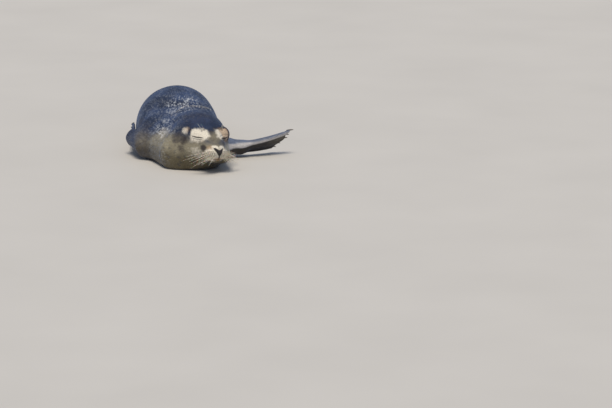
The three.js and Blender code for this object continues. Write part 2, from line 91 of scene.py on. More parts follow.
# %% Curves, axes and soft joins
def spline(x, y):
    """Natural cubic spline through the knots, held level beyond its ends."""
    x, y = np.asarray(x, float), np.asarray(y, float)
    h, n = np.diff(x), len(x)
    bend, turn = np.zeros((n, n)), np.zeros(n)
    bend[0, 0] = bend[-1, -1] = 1
    for i in range(1, n - 1):
        bend[i, i - 1 : i + 2] = h[i - 1], 2 * (h[i - 1] + h[i]), h[i]
        turn[i] = 6 * ((y[i + 1] - y[i]) / h[i] - (y[i] - y[i - 1]) / h[i - 1])
    m = np.linalg.solve(bend, turn)

    def at(t):
        t = np.clip(t, x[0], x[-1])
        i = np.clip(np.searchsorted(x, t) - 1, 0, n - 2)
        a, b = (x[i + 1] - t) / h[i], (t - x[i]) / h[i]
        return a * y[i] + b * y[i + 1] + ((a**3 - a) * m[i] + (b**3 - b) * m[i + 1]) * h[i] ** 2 / 6

    return at


def unit(v):
    v = np.asarray(v, float)
    return v / np.maximum(np.linalg.norm(v, axis=-1, keepdims=True), 1e-12)


def turned(yaw=0.0, pitch=0.0, roll=0.0):
    """Axes (as columns) turned about Z, then X, then Y, in degrees."""

    def turn(degrees, i, j):
        c, s = math.cos(math.radians(degrees)), math.sin(math.radians(degrees))
        m = np.eye(3)
        m[i, i], m[i, j], m[j, i], m[j, j] = c, -s, s, c
        return m

    return turn(yaw, 0, 1) @ turn(pitch, 1, 2) @ turn(roll, 2, 0)


def blend(a, b, k):
    """Union of two forms with a fillet about k wide."""
    h = np.clip(0.5 + 0.5 * (b - a) / k, 0, 1)
    return b + (a - b) * h - k * h * (1 - h)


def ramp(x, low, high):
    """0 at low, 1 at high, smooth between; low may be the larger."""
    t = np.clip((x - low) / (high - low), 0, 1)
    return t * t * (3 - 2 * t)


def ellipsoid(q, c, r):
    r = np.asarray(r, float)
    d = (q - np.asarray(c, float)) / r
    k0, k1 = np.sqrt((d * d).sum(-1)), np.sqrt(((d / r) ** 2).sum(-1))
    return k0 * (k0 - 1) / np.maximum(k1, 1e-6)


def limb(p, a, b, ra, rb):
    """A rod from a to b whose radius runs from ra to rb."""
    a, b = np.asarray(a, float), np.asarray(b, float)
    t = np.clip(((p - a) @ (b - a)) / ((b - a) @ (b - a)), 0, 1)
    return np.linalg.norm(p - a - t[..., None] * (b - a), axis=-1) - (ra + (rb - ra) * t)


# %% Trunk and nape
STATIONS = [120, 165, 220, 300, 400, 520, 660, 780, 860]  # mm back from the nose, for the next four
MIDDLE_X = spline(STATIONS, [40, 34, 24, 7, -3, -9, 0, 14, 22])
HALF_WIDTH = spline(STATIONS, [98, 110, 122, 134, 136, 129, 109, 75, 46])
BACK_Z = spline(STATIONS, [136, 143, 151, 164, 187, 190, 160, 112, 78])
BELLY_Z = spline(STATIONS, [-12, -14, -14, -14, -15, -14, -10, 0, 10])
WIDEST = 0.4  # share of the height at which the trunk is widest
BACK_POWER, BELLY_POWER = 2.0, 3.0  # a section is round above and squarer below
THROAT_CAP, TAIL_CAP = 62.0, 34.0  # length of the rounded ends
NAPE_AT, NAPE_AXES, NAPE_HALF = np.array([63, 196, 84.0]), turned(18), (86, 108, 84)


def trunk(p):
    y = np.clip(p[..., 1], STATIONS[0], STATIONS[-1])
    low, top, w = BELLY_Z(y), BACK_Z(y), HALF_WIDTH(y)
    zc = low + WIDEST * (top - low)
    dx, dy, dz = p[..., 0] - MIDDLE_X(y), p[..., 1] - y, p[..., 2] - zc
    h = np.where(dz > 0, top - zc, zc - low)
    n = np.where(dz > 0, BACK_POWER, BELLY_POWER)
    a, b = np.abs(dx / w) + 1e-6, np.abs(dz / h) + 1e-6
    k = (a**n + b**n) ** (1 / n)
    gx, gz = (a / k) ** (n - 1) / w, (b / k) ** (n - 1) / h
    cap = np.where(dy < 0, THROAT_CAP, TAIL_CAP)
    kk = np.hypot(k, dy / cap)
    return (kk - 1) * kk / np.sqrt(k * k * (gx * gx + gz * gz) + (dy / cap / cap) ** 2)


# %% Head
HEAD_AXES = turned(yaw=26, pitch=3, roll=5)
NOSE_AT = np.array([131.0, 0, 77])
NOSE_IN_HEAD = np.array([0, -98.0, -18])  # from the middle of the skull
HEAD_AT = NOSE_AT - HEAD_AXES @ NOSE_IN_HEAD
EYE_IN_HEAD = np.array([35.5, -34, 8.5])
LEFT_SIDE, RIGHT_SIDE = np.array([1, 1, 1]), np.array([-1, 1, 1])


def to_head(p):
    """x to the seal's left, y back, z up, from the middle of the skull."""
    return (p - HEAD_AT) @ HEAD_AXES


def from_head(q):
    return HEAD_AT + np.asarray(q, float) @ HEAD_AXES.T


# Lumps that make the head: middle, half size and the fillet into what is there before
BRAINCASE = (0, 16, 1), (63, 84, 48)
SKULL = (
    ((0, 16, -32), (69, 80, 44), 30),  # jaws and cheeks
    ((0, -46, -21), (37, 48, 30), 20),  # bridge of the muzzle
)
PAD_AT, PAD_HALF = np.array([17, -70, -31.0]), np.array([23, 25, 18.0])
FACE = (
    ((43, -30, -46), (27, 42, 25), 20),  # the left cheek, which the head leans on
    ((46, -12, 17), (25, 30, 25), 11),  # the brow above it
    ((-44, -2, 6), (20, 28, 22), 16),  # right brow
    (PAD_AT * RIGHT_SIDE, PAD_HALF, 12),  # whisker pad
    (EYE_IN_HEAD * RIGHT_SIDE, (15.5, 15.5, 13.5), 6),  # eye under its lids
    (PAD_AT * LEFT_SIDE, PAD_HALF, 12),
    (EYE_IN_HEAD * LEFT_SIDE, (15.5, 15.5, 13.5), 6),
    ((0, -83, -18), (15, 14, 12), 10),  # nose
    ((0, -56, -50), (25, 33, 14), 12),  # lower jaw and chin
)


def with_lumps(f, q, lumps):
    """The form f with these ellipsoids joined on in turn."""
    for at, half, fillet in lumps:
        f = blend(f, ellipsoid(q, at, half), fillet)
    return f


# %% Flippers and tail
DIGITS = (-1, -0.5, 0, 0.5, 1)  # where the five digits lie across a flipper


class Blade:
    """A webbed flipper of five digits: x runs along it, y from digit one to five, z to its back."""

    def __init__(self, at, along, back, reach, lift=0.0, mirror=1, **sizes):
        vars(self).update(sizes, lift=lift)  # length, root and tip widths, thick, thin, scallop and taper
        self.reach = spline(DIGITS, reach)
        self.at, self.flip = np.asarray(at, float), np.array([1, mirror, 1])
        x = unit(along)
        z = unit(np.asarray(back, float) - x * np.dot(back, x))
        self.axes = np.stack([x, np.cross(z, x), z], 1)

    def local(self, p):
        return ((p - self.at) @ self.axes) * self.flip

    def world(self, q):
        return self.at + (np.asarray(q, float) * self.flip) @ self.axes.T

    def shape(self, x, y):
        """Half width, digit end, half thickness, place across (-1 to 1) and how near a digit's line."""
        t = np.clip(x / self.length, 0, 1)
        w = 0.5 * self.root + 0.5 * (self.tip - self.root) * (1 - (1 - t) ** 1.6)
        u = np.clip(y / w, -1.15, 1.15)
        ray = 0.5 + 0.5 * np.cos(2 * np.pi * (u + 1))
        end = self.length * self.reach(u) * (1 - self.scallop * (1 - ray))
        r = (self.thick + (self.thin - self.thick) * t) * (1 - 0.5 * self.taper * (u + 1))
        return w, end, np.maximum(r * (0.84 + 0.16 * ray), 2), u, ray

    def rise(self, x):
        """How far the blade's middle has curved up at x."""
        return self.lift * np.maximum(x, 0) ** 2 / self.length

    def form(self, p):
        q = self.local(p)
        x, y = q[..., 0], q[..., 1]
        z = q[..., 2] - self.rise(x)
        w, end, r, _, _ = self.shape(x, y)
        ex = np.maximum(np.maximum(x - end + r, -x), 0)
        ey = np.maximum(np.abs(y) - w + r, 0)
        return 0.9 * (np.sqrt(ex**2 + ey**2 + z**2 + 1e-12) - r)


# Lengths, widths and thicknesses in mm; scallop, taper and each digit's reach are shares of those
FORE = dict(length=165, root=52, tip=84, thick=11.5, thin=5, scallop=0.06, taper=0.35,
            reach=[1, 0.98, 0.91, 0.81, 0.68])
FOLDED = dict(FORE, root=50, tip=60)
HIND = dict(length=162, root=42, tip=98, thick=11, thin=4.6, scallop=0.1, taper=0,
            reach=[1, 0.9, 0.85, 0.9, 1])
FLIPPERS = {
    "fore_left": Blade([198, 274, 33], [1, 0.24, 0.02], [0, 0.68, 0.74], lift=0.16, **FORE),
    "fore_right": Blade([-147, 322, 57], [-0.03, 1, -0.02], [-1, 0, 0.12], mirror=-1, **FOLDED),
    "hind_left": Blade([47, 892, 41], [0.2, 1, -0.01], [1, 0, 0.8], **HIND),
    "hind_right": Blade([-3, 892, 41], [-0.2, 1, -0.01], [-1, 0, 0.8], mirror=-1, **HIND),
}
ARMS = {  # shoulder or knee, radius there and at the wrist or ankle, fillet into the blade
    "fore_left": ([110, 262, 42], 42, 21, 24),
    "fore_right": ([-98, 262, 53], 49, 22, 18),
    "hind_left": ([48, 810, 48], 36, 18, 18),
    "hind_right": ([-12, 810, 48], 36, 18, 18),
}
TAIL_AT, TAIL_AXES, TAIL_HALF = np.array([22, 908, 63.0]), turned(pitch=-12), (19, 48, 10)
FILLET = dict(nape=40, skull=48, fore=20, folded_arm=22, folded_blade=5, hind=16, tail=12)


def arm(p, name):
    shoulder, r0, r1, _ = ARMS[name]
    return limb(p, shoulder, FLIPPERS[name].at, r0, r1)


def flipper(p, name):
    return blend(FLIPPERS[name].form(p), arm(p, name), ARMS[name][3])


def seal(p):
    """The whole animal out to the tips of its coat."""
    q = to_head(p)
    skull = with_lumps(ellipsoid(q, *BRAINCASE), q, SKULL)
    f = blend(trunk(p), ellipsoid((p - NAPE_AT) @ NAPE_AXES, (0, 0, 0), NAPE_HALF), FILLET["nape"])
    f = with_lumps(blend(f, skull, FILLET["skull"]), q, FACE)
    f = blend(f, flipper(p, "fore_left"), FILLET["fore"])
    f = blend(f, arm(p, "fore_right"), FILLET["folded_arm"])
    f = blend(f, flipper(p, "fore_right"), FILLET["folded_blade"])
    for name in ("hind_left", "hind_right"):
        f = blend(f, flipper(p, name), FILLET["hind"])
    return blend(f, ellipsoid((p - TAIL_AT) @ TAIL_AXES, (0, 0, 0), TAIL_HALF), FILLET["tail"])


print("nose", seal(NOSE_AT).round(2), "mm from the surface, back", seal(np.array([0, 460.0, 190])).round(2))

# %% [markdown]
# ## The skin under the coat
#
# A seal's flat hair is about two millimetres deep on the trunk and much less on the face and flippers.
# The skin is the body's form drawn in by that depth. It could be made by shrinking the solids, but their
# facets and the gaps between them would show. Surface nets find the formula's surface on a grid instead:
# each grid box that the surface crosses gets one corner, and corners round each crossed grid line make a
# four-sided face. The grid is finer where the webs are thin and where the head is, and the faces round
# the eyes, nose and mouth are then divided further and put back on the surface.

# %% How deep the coat is
FLOOR_CLEAR, FLOOR_FILLET = 0.7, 5  # mm from the floor to the skin that lies on it, and round its edge
TRUNK_COAT, LESS_ON_FACE = 1.7, 0.9  # mm


def flipper_share(p, near=3.0, far=16.0):
    """1 on a flipper's blade, fading to 0 where its arm runs into the body."""
    share = np.zeros(p.shape[:-1])
    for blade in FLIPPERS.values():
        x = blade.local(p)[..., 0]
        share = np.maximum(share, ramp(blade.form(p), far, near) * ramp(x, -30, 25))
    return share


def coat_depth(p):
    face = ramp(to_head(p)[..., 1], 20, -60)
    return TRUNK_COAT - LESS_ON_FACE * np.maximum(face, flipper_share(p))


def skin_form(p):
    return -blend(-(seal(p) + coat_depth(p)), p[..., 2] - FLOOR_CLEAR, FLOOR_FILLET)


# %% Surface nets
def near_surface(axes, form, stride=4):
    """The form on the grid, worked out only where every stride-th point says the surface may be near."""
    coarse = [np.minimum(np.arange(0, len(a) + stride, stride), len(a) - 1) for a in axes]
    spots = np.stack(np.meshgrid(*[a[c] for a, c in zip(axes, coarse)], indexing="ij"), -1)
    rough = form(spots)
    nearest = [(np.arange(len(a)) + stride // 2) // stride for a in axes]
    values = rough[np.ix_(*[np.minimum(n, len(c) - 1) for n, c in zip(nearest, coarse)])]
    reach = 0.5 * np.linalg.norm([stride * np.diff(a).max() for a in axes])
    todo = np.argwhere(np.abs(values) < 1.3 * reach + 3)
    points = np.stack([axes[i][todo[:, i]] for i in range(3)], 1)
    values[tuple(todo.T)] = np.concatenate([form(part) for part in np.array_split(points, 12)])
    print("grid", values.shape, "points worked out", len(todo))
    return values


def surface_net(values, axes):
    """Corners and four-sided faces of the surface where the grid's values change sign."""
    inside = values < 0
    nx, ny, nz = values.shape
    count = np.zeros((nx - 1, ny - 1, nz - 1), np.int8)  # how many of a box's eight corners are inside
    for i, j, k in np.ndindex(2, 2, 2):
        count += inside[i : nx - 1 + i, j : ny - 1 + j, k : nz - 1 + k]
    crossed = (count > 0) & (count < 8)
    boxes = np.argwhere(crossed)
    number = -np.ones(crossed.shape, np.int64)
    number[crossed] = np.arange(len(boxes))
    total, hits = np.zeros((len(boxes), 3)), np.zeros(len(boxes))  # a corner is the mean of the crossings
    for axis in range(3):
        others = [a for a in range(3) if a != axis]
        for i, j in np.ndindex(2, 2):
            near = np.zeros(3, int)
            near[others[0]], near[others[1]] = i, j
            far = near.copy()
            far[axis] = 1
            p0, p1 = boxes + near, boxes + far
            f0, f1 = values[tuple(p0.T)], values[tuple(p1.T)]
            cut = (f0 < 0) != (f1 < 0)
            t = f0[cut] / (f0[cut] - f1[cut])
            for a in range(3):
                x0, x1 = axes[a][p0[cut, a]], axes[a][p1[cut, a]]
                total[cut, a] += x0 + t * (x1 - x0)
            hits[cut] += 1
    faces = []  # a ring of four boxes round every grid line that is crossed
    for axis, b, c in ((0, 1, 2), (1, 2, 0), (2, 0, 1)):
        first, second = [slice(None)] * 3, [slice(None)] * 3
        first[axis], second[axis] = slice(0, -1), slice(1, None)
        lines = np.argwhere(inside[tuple(first)] != inside[tuple(second)])
        ring = []
        for db, dc in ((-1, -1), (0, -1), (0, 0), (-1, 0)):
            box = lines.copy()
            box[:, b] += db
            box[:, c] += dc
            ring.append(number[tuple(box.T)])
        ring = np.stack(ring, 1)
        out = ~inside[tuple(lines.T)]
        ring[out] = ring[out][:, ::-1]
        faces.append(ring)
    return total / hits[:, None], np.concatenate(faces)


def stretch(*runs):
    """Grid lines from (start, end, spacing) runs that follow each other."""
    lines = [np.arange(a, b, step) for a, b, step in runs]
    return np.concatenate([*lines, [runs[-1][1]]])


grid_axes = (  # mm: start, end and spacing
    stretch((-176, -132, 2.2), (-132, -92, 4.0), (-92, 196, 2.8), (196, 376, 4.0)),
    stretch((-16, 112, 2.8), (112, 230, 4.0), (230, 338, 2.8), (338, 876, 6.5), (876, 1060, 3.8)),
    stretch((-2.6, 86, 2.3), (86, 200, 4.0)),
)
net_points, net_faces = surface_net(near_surface(grid_axes, skin_form), grid_axes)
print("net", len(net_points), "corners", len(net_faces), "faces")

# %% Divide the face further and lay every corner on the surface
def settle(points, form, steps=3, cap=2.5):
    """Moves points along the form's slope on to its surface, each step at most cap mm."""
    h = 0.4
    for _ in range(steps):
        f = form(points)
        slope = np.stack([form(points + h * axis) - f for axis in np.eye(3)], 1) / h
        step = -slope * (f / np.maximum((slope**2).sum(1), 0.05))[:, None]
        far = np.maximum(np.linalg.norm(step, axis=1), 1e-9)
        points = points + step * np.minimum(1, cap / far)[:, None]
    return points


def corners_of(mesh):
    return np.array([v.co for v in mesh.verts], float)


def put_corners(mesh, points):
    for v, p in zip(mesh.verts, points.tolist()):
        v.co = p


def mirrored(q):
    """Head points brought over to the left side."""
    return np.concatenate([np.abs(q[..., :1]), q[..., 1:]], -1)


EAR_IN_HEAD = np.array([61.5, 15, 21])


def face_zone(q):
    """Distance-like: below 0 where the face's small features are, in the head's millimetres."""
    right_eye_corner = limb(q * RIGHT_SIDE, (45, -40, 13), (67, -17, 12.5), 12, 12)
    return np.minimum(ellipsoid(q, (0, -52, -12), (64, 58, 56)), right_eye_corner)


def feature_zone(q):
    """Below 0 close to the eye slits, the nose, the mouth's front and the ear pits."""
    m = mirrored(q)
    return np.min([
        limb(q * RIGHT_SIDE, (36, -53, 13), (64, -20, 12.5), 7, 7),
        limb(q, (22, -62, 14), (52, -39, 12.5), 7, 7),
        ellipsoid(m, (0, -94, -27), (21, 22, 23)),
        ellipsoid(m, EAR_IN_HEAD, (8, 8, 8)),
    ], axis=0)


def divide(mesh, zone):
    """Halves every edge of the faces whose middle lies in the zone."""
    middles = np.array([f.calc_center_median() for f in mesh.faces])
    wanted = np.argwhere(zone(to_head(middles)) < 0)[:, 0]
    mesh.faces.ensure_lookup_table()
    edges = {e for i in wanted for e in mesh.faces[i].edges}
    bmesh.ops.subdivide_edges(mesh, edges=list(edges), cuts=1, use_grid_fill=True)


skin_mesh = bmesh.new()
for p in net_points.tolist():
    skin_mesh.verts.new(p)
skin_mesh.verts.ensure_lookup_table()
for ring in net_faces.tolist():
    skin_mesh.faces.new([skin_mesh.verts[i] for i in ring])
for zone in (None, face_zone, feature_zone):
    if zone:
        divide(skin_mesh, zone)
    bmesh.ops.smooth_vert(skin_mesh, verts=skin_mesh.verts, factor=0.5,
                          use_axis_x=True, use_axis_y=True, use_axis_z=True)
    put_corners(skin_mesh, settle(corners_of(skin_mesh), skin_form))
bmesh.ops.triangulate(skin_mesh, faces=[f for f in skin_mesh.faces if len(f.verts) > 4])
skin_mesh.normal_update()
print("skin", len(skin_mesh.verts), "corners", len(skin_mesh.faces), "faces")

# %% [markdown]
# ## Lids, nostrils, mouth, ears and folds
#
# The face's small forms are what make it a seal's: the closed lids meet in a fine curved slit over a round
# eyeball, the nostrils are two slits in a V that closes by itself, the upper lip is split below them, and
# the ear is only a pit. They could be carved with booleans, which leave hard rims, or painted, which leaves
# them flat. Here they press the finished skin in or out along its normal, by amounts in millimetres.

# %% Closed eyes
class Eye:
    """One closed eye: s runs along its slit to the outer corner, v up across it and w out of the head."""

    def __init__(self, side, at, along, half):
        self.side, self.at, self.half = side, np.array(at, float), half
        ends = from_head((self.at + np.vstack([np.eye(3), -np.eye(3)])) * side)
        f = skin_form(ends)
        out = f[:3] - f[3:]
        self.along = unit(along)
        self.out = unit(out - self.along * (out @ self.along))
        self.up = np.cross(self.out, self.along)

    def frame(self, q):
        d = q * self.side - self.at
        return d @ self.along, d @ self.up, d @ self.out

    def above_slit(self, s, v):
        """How far above the slit, which sags between the corners."""
        return v + 1.4 * (1 - (s / self.half) ** 2)


RIGHT_EYE = Eye(RIGHT_SIDE, [49.8, -36.7, 13.0], [0.66, 0.75, 0], 21.5)
LEFT_EYE = Eye(LEFT_SIDE, [37.0, -51.0, 12.5], [0.8, 0.6, -0.04], 18.5)


def bump(x, width):
    return np.exp(-((x / width) ** 2))


def lids(q):
    """Relief of both eyes' lids in mm, and how bare the skin is along the slits."""
    relief, bare = np.zeros((2, len(q)))
    for eye in (RIGHT_EYE, LEFT_EYE):
        s, v, w = eye.frame(q)
        here = ramp(w, -16, -7) * (q[:, 0] * eye.side[0] > 6)
        closed = np.clip(1 - (s / eye.half) ** 2, 0, 1) * here
        slit = eye.above_slit(s, v)
        relief -= 3.4 * bump(slit, 0.5 + 0.6 * closed) * closed**0.7
        relief += (1.1 * bump(slit - 2.7, 1.6) + 0.8 * bump(slit + 2.6, 1.5)) * closed
        upper = v - 9.0 + 5.0 * (s / 22) ** 2  # creases at the rims of the eyeball
        lower = v + 8.5 - 3.5 * (s / 20) ** 2
        ends = ramp(np.abs(s), 26, 12) * here
        relief += (1.0 * bump(upper + 3.0, 2.0) - 1.6 * bump(upper, 1.4)) * ends
        relief += (0.7 * bump(lower - 2.6, 1.7) - 1.1 * bump(lower, 1.4)) * ends
        bare = np.maximum(bare, bump(slit, 0.45 + 1.1 * closed) * ramp(closed, 0.0, 0.35))
    return relief, bare


# %% Nose, upper lip and mouth
NOSTRIL_TOP, NOSTRIL_RUN = np.array([15.2, -13.5]), np.array([-11.6, -14.0])  # across and up, mm
LEATHER_LOW, LEATHER_TALL, LEATHER_HALF = -34, 23, 15.6


def nose_and_mouth(q):
    """Relief in mm, how much each point is nose leather, how dark the lip line is, and the nostrils with
    their painted shade.
    """
    y, z = q[:, 1], q[:, 2] + 0.05 * q[:, 0]
    across = q[:, 0] - 1.0 - 0.15 * np.clip(-16 - z, 0, 22)  # the nose leans a little to the left
    x = np.abs(across)
    front = ramp(y, -72, -86)
    high = np.clip((z - LEATHER_LOW) / LEATHER_TALL, 0, 1)
    top = -15.5 + 4.5 * ramp(x, 1, 12) - 0.06 * np.maximum(x - 13, 0) ** 2  # notched between the nostrils
    edge = np.minimum(1.8 + LEATHER_HALF * high**0.8 - x, top - z)
    leather = ramp(np.minimum(edge, z + 34.5), -0.7, 0.9) * front
    dx, dz = x - NOSTRIL_TOP[0], z - NOSTRIL_TOP[1]
    t = np.clip((dx * NOSTRIL_RUN[0] + dz * NOSTRIL_RUN[1]) / (NOSTRIL_RUN @ NOSTRIL_RUN), 0, 1)
    bow = 1.6 * np.sin(np.pi * t)
    off = np.hypot(dx - NOSTRIL_RUN[0] * t - 0.5 * bow, dz - NOSTRIL_RUN[1] * t + 0.7 * bow)
    # the nostril share also paints the shade inside the slits
    nostril = bump(off, 1.7 - 0.7 * t) * front
    septum = bump(across, 0.9) * ramp(z, -10, -16) * front
    lip_split = bump(across, 1.1) * ramp(z, -26, -31) * ramp(z, -49, -45) * front
    line = z + 46.5 + 1.3 * ramp(x, 0, 10) - 5.5 * ramp(x, 16, 40)
    mouth = bump(line, 1.15) * ramp(y, -36, -48) * ramp(x, 44, 36)
    relief = 0.7 * leather - (6.0 - 3.2 * t) * nostril - 0.7 * septum - 1.9 * lip_split
    relief += 0.5 * bump(off - 3.4, 1.3) * leather - 3.0 * mouth  # a raised wing beside each nostril
    relief += 0.7 * bump(line - 3.2, 2.0) * ramp(y, -40, -60) * front  # upper lip
    return relief, leather, np.maximum(mouth, 0.8 * lip_split), nostril


# %% Ears and whisker pores
PORE_ROWS = ((9, 4), (5, 6), (1, 7), (-3, 7), (-7, 6), (-11, 4))  # mm over the pad's middle, whiskers
BROW_PORES = ((33, -30, 36), (38, -24, 37), (27, -34, 36.5), (35, -33, 32))
ROW_TURN, ROW_STEP, ROW_STAGGER = 24, 15.5, 5  # degrees out from the middle line, between pores and rows


def pores_on_pads():
    """Where the whiskers of the left pad root, row by row, near the skin: in the head's frame."""
    found = []
    for row, (high, count) in enumerate(PORE_ROWS):
        for i in range(count):
            turn = math.radians(ROW_TURN + ROW_STEP * (i - (count - 1) / 2) + ROW_STAGGER * (row % 2))
            up = high / PAD_HALF[2]
            flat = math.sqrt(1 - up**2)
            found.append(PAD_AT + PAD_HALF * (flat * math.sin(turn), -flat * math.cos(turn), up))
    return np.array(found)


def on_skin(q, steps=12):
    """The head points q moved on to the skin."""
    return to_head(settle(from_head(q), skin_form, steps))


left_pores = on_skin(pores_on_pads())
brow_pores = on_skin(np.array(BROW_PORES, float))
print("whisker pores on each side", len(left_pores), "above each eye", len(brow_pores))


def ears(q):
    """Relief of the ear pits and their soft rims, and the painted shade inside the pit."""
    d = mirrored(q) - EAR_IN_HEAD
    along = d @ unit([0, 0.55, -0.83])
    off = np.sqrt(np.maximum((d * d).sum(1) - along**2, 0) + (along / 1.7) ** 2)
    return 0.8 * bump(off - 3.4, 1.5) - 3.2 * bump(off, 1.6), bump(off, 1.9)


def near_pads(m):
    """Which of the mirrored head points are on the whisker pads."""
    return np.argwhere((m[:, 1] < -45) & (m[:, 0] > 6) & (m[:, 2] < -14))[:, 0]


def pores(q):
    """Small dimples with a raised rim where whiskers root."""
    relief, dark = np.zeros((2, len(q)))
    m = mirrored(q)
    close = near_pads(m)
    for pore in left_pores:
        off = np.linalg.norm(m[close] - pore, axis=1)
        relief[close] += 0.35 * bump(off - 1.7, 0.9) - 0.6 * bump(off, 0.9)
        dark[close] = np.maximum(dark[close], bump(off, 1.25))
    for pore in brow_pores:
        dark = np.maximum(dark, bump(np.linalg.norm(m - pore, axis=1), 1.8))
    return relief, dark


# %% Folds of the neck and flanks
NAPE_FOLD = spline([-18, 0, 38, 86, 111], [180, 258, 307, 349, 384])  # how far back it is at each x
NECK_FOLDS = ((212, 1.4, 7), (236, 0.8, 6))  # mm back, depth, width
FLANK_FOLD, SWELL = 0.5, 0.55  # mm high: fine folds near the floor, and soft lumps all over


def behind_fold(p):
    """How far behind the nape's main fold each point is, in mm."""
    x, y, _ = p.T
    lean = (NAPE_FOLD(x + 1) - NAPE_FOLD(x - 1)) / 2
    return (y - NAPE_FOLD(x)) / np.sqrt(1 + lean**2)


def folds(p):
    """Skin folds across the nape, where the head is drawn back, and faint ones along the flanks."""
    x, y, z = p.T
    d = behind_fold(p)
    fade = ramp(np.abs(x - 42), 92, 50) * ramp(z, 100, 135)
    relief = (2.6 * bump(d, 7) - 3.6 * bump(d - 15, 8)) * fade
    for back, depth, width in NECK_FOLDS:
        bent = y - back - 0.0016 * (x - 50) ** 2 + 5 * np.sin(x / 23 + back)
        fade = ramp(np.abs(x - 50), 85, 35) * ramp(z, 70, 118)
        relief += (0.45 * depth * bump(bent + 1.7 * width, width) - depth * bump(bent, width)) * fade
    low = ramp(z, 62, 30) * ramp(z, 3, 10) * ramp(y, 60, 140) * ramp(y, 900, 800)
    relief += FLANK_FOLD * low * np.sin(z / 4.6 + 2.5 * np.sin(y / 47) + 1.2 * np.sin(x / 31))
    swell = np.sin(x / 19 + 1.3 * np.sin(y / 37)) * np.sin(y / 26 + np.sin(z / 29))
    swell = swell * np.sin(z / 22 + x / 61) * (1 - flipper_share(p)) * ramp(to_head(p)[:, 1], -10, 60)
    return relief + SWELL * swell


BARE = {lids: ["lid"], nose_and_mouth: ["leather", "lip", "nostril"], ears: ["ear"], pores: ["pore"]}


def relief_of(p):
    """All relief along the normal in mm, and how far each kind of bare skin shows, by name."""
    q = to_head(p)
    height = folds(p)
    marks = {name: np.zeros(len(p)) for names in BARE.values() for name in names}
    face = np.argwhere((q[:, 1] < 40) & (q[:, 2] > -75))[:, 0]
    for form in (lids, nose_and_mouth, ears, pores):
        relief, *shares = form(q[face])
        height[face] += relief
        for name, share in zip(BARE[form], shares):
            marks[name][face] = share
    return height, marks


smooth_points = corners_of(skin_mesh)
smooth_normals = np.array([v.normal for v in skin_mesh.verts])
height, marks = relief_of(smooth_points)
skin_points = smooth_points + smooth_normals * height[:, None]
skin_points[:, 2] = np.maximum(skin_points[:, 2], FLOOR_CLEAR / 2)
put_corners(skin_mesh, skin_points)
skin_mesh.normal_update()
skin_normals = np.array([v.normal for v in skin_mesh.verts])
print("relief from", height.min().round(2), "to", height.max().round(2), "mm")

# %% [markdown]
# ## Where the markings are
#
# A harbor seal is slate-grey above and paler below, with fine pale speckle and broken rings on the back,
# pale patches round the eyes, a pale muzzle and darker streaks between and below the eyes. They could be
# painted by hand into an image, but then the skin and the coat would need one image each. Here each
# marking is a share from 0 to 1, a function of the place on the body. The skin's corners and every
# tuft's root carry the same shares, and one set of shader nodes turns them into colour.
# Some shares also paint light and shade into the coat: shade low on the body, on the right shoulder and on
# the flippers' palm sides, and highlights along the nape fold's rim and the flippers' first digits.

# %% Markings of the head
# Corners of the pale patch round each eye: mm along its slit and up across it
RIGHT_PATCH = np.array([(25, 21), (11, 27), (-9, 31), (-22, 29), (-39, 11), (-33, -1), (-24, -12),
                        (-2, -19), (18, -18), (23, -8), (26, 7.0)])
LEFT_PATCH = np.array([(20, 29), (-14, 34), (-27, 22), (-32, 5), (-22, -6), (8, -9), (19, -5), (22, 12.0)])
PATCH_EDGE = 8.0  # mm over which a patch fades out


def in_patch(corners, s, v):
    """1 inside the many-sided patch round an eye, 0 outside."""
    inside = np.full(s.shape, np.inf)
    for (s0, v0), (s1, v1) in zip(corners, np.roll(corners, -1, 0)):
        side = (v - v0) * (s1 - s0) - (s - s0) * (v1 - v0)
        inside = np.minimum(inside, side / math.hypot(s1 - s0, v1 - v0))
    return ramp(inside, -PATCH_EDGE, PATCH_EDGE)


def spot(q, at, half, out, full):
    """1 within full times the ellipsoid's half size, 0 beyond out times."""
    return ramp(np.linalg.norm((q - np.array(at, float)) / np.array(half, float), axis=1), out, full)


def layered(q, spots):
    """The strongest of several weighted spots: (weight, middle, half size, softness)."""
    return np.max([w * spot(q, at, half, 1 + soft, 1 - soft) for w, at, half, soft in spots], axis=0)


DARK_SPOTS = (  # weight, middle, half size and softness, in the head's mm
    (0.90, (-38, -65, -16), (9.5, 12, 10), 0.55),  # spot on the right cheek
    (0.60, (30, -70, -3), (13, 12, 9), 0.5),
    (0.44, (-9, -50, 30), (8, 22, 15), 0.6),  # between the eyes
    (0.45, (-12, -68, 10), (9, 10, 9), 0.6),
    (0.75, (-60, -2, 27), (5, 9, 18), 0.5),  # between eye and ear
    (0.75, (-78, -1, -6), (13, 18, 16), 0.6),  # below the ears
    (0.58, (-88, 24, -2), (16, 26, 27), 0.6),
    (0.55, (-81, 0, -32), (13, 19, 15), 0.6),
    (0.46, (-20, 44, 56), (62, 66, 44), 0.5),  # crown
    (0.60, (57, 5, 31), (5, 9, 15), 0.4),
    (0.60, (72, -2, 0), (15, 16, 13), 0.8),
)
RUST_SPOTS = (
    (0.60, (-25, -80, -12), (9, 12, 9), 0.8),
    (0.80, (4, -92, -45), (15, 14, 5.5), 0.5),  # lips
    (0.50, (-63, 9, 23), (9, 14, 17), 0.5),  # ears
    (0.50, (63, 9, 23), (9, 14, 17), 0.5),
)
CREAM_SPOTS = (
    (1.25, (-18, -88, -32), (22, 24, 20), 0.4),  # muzzle
    (0.90, (20, -88, -32), (21, 24, 19), 0.5),
    (0.95, (-13, -90, -9), (12, 12, 5.5), 0.4),  # bright rim above the nose
    (0.95, (12, -90, -9.5), (12, 12, 5.0), 0.4),
    (0.70, (0, -93, -14), (9, 10, 7), 0.5),
    (0.56, (-53, -46, -33), (19, 24, 17), 0.9),  # pale cheek
    (0.30, (58, -38, -22), (22, 26, 16), 0.7),
    (0.80, (-67, 12, 24), (8, 14, 18), 0.8),  # ears
    (0.66, (67, 11, 24), (8, 14, 18), 0.8),
)


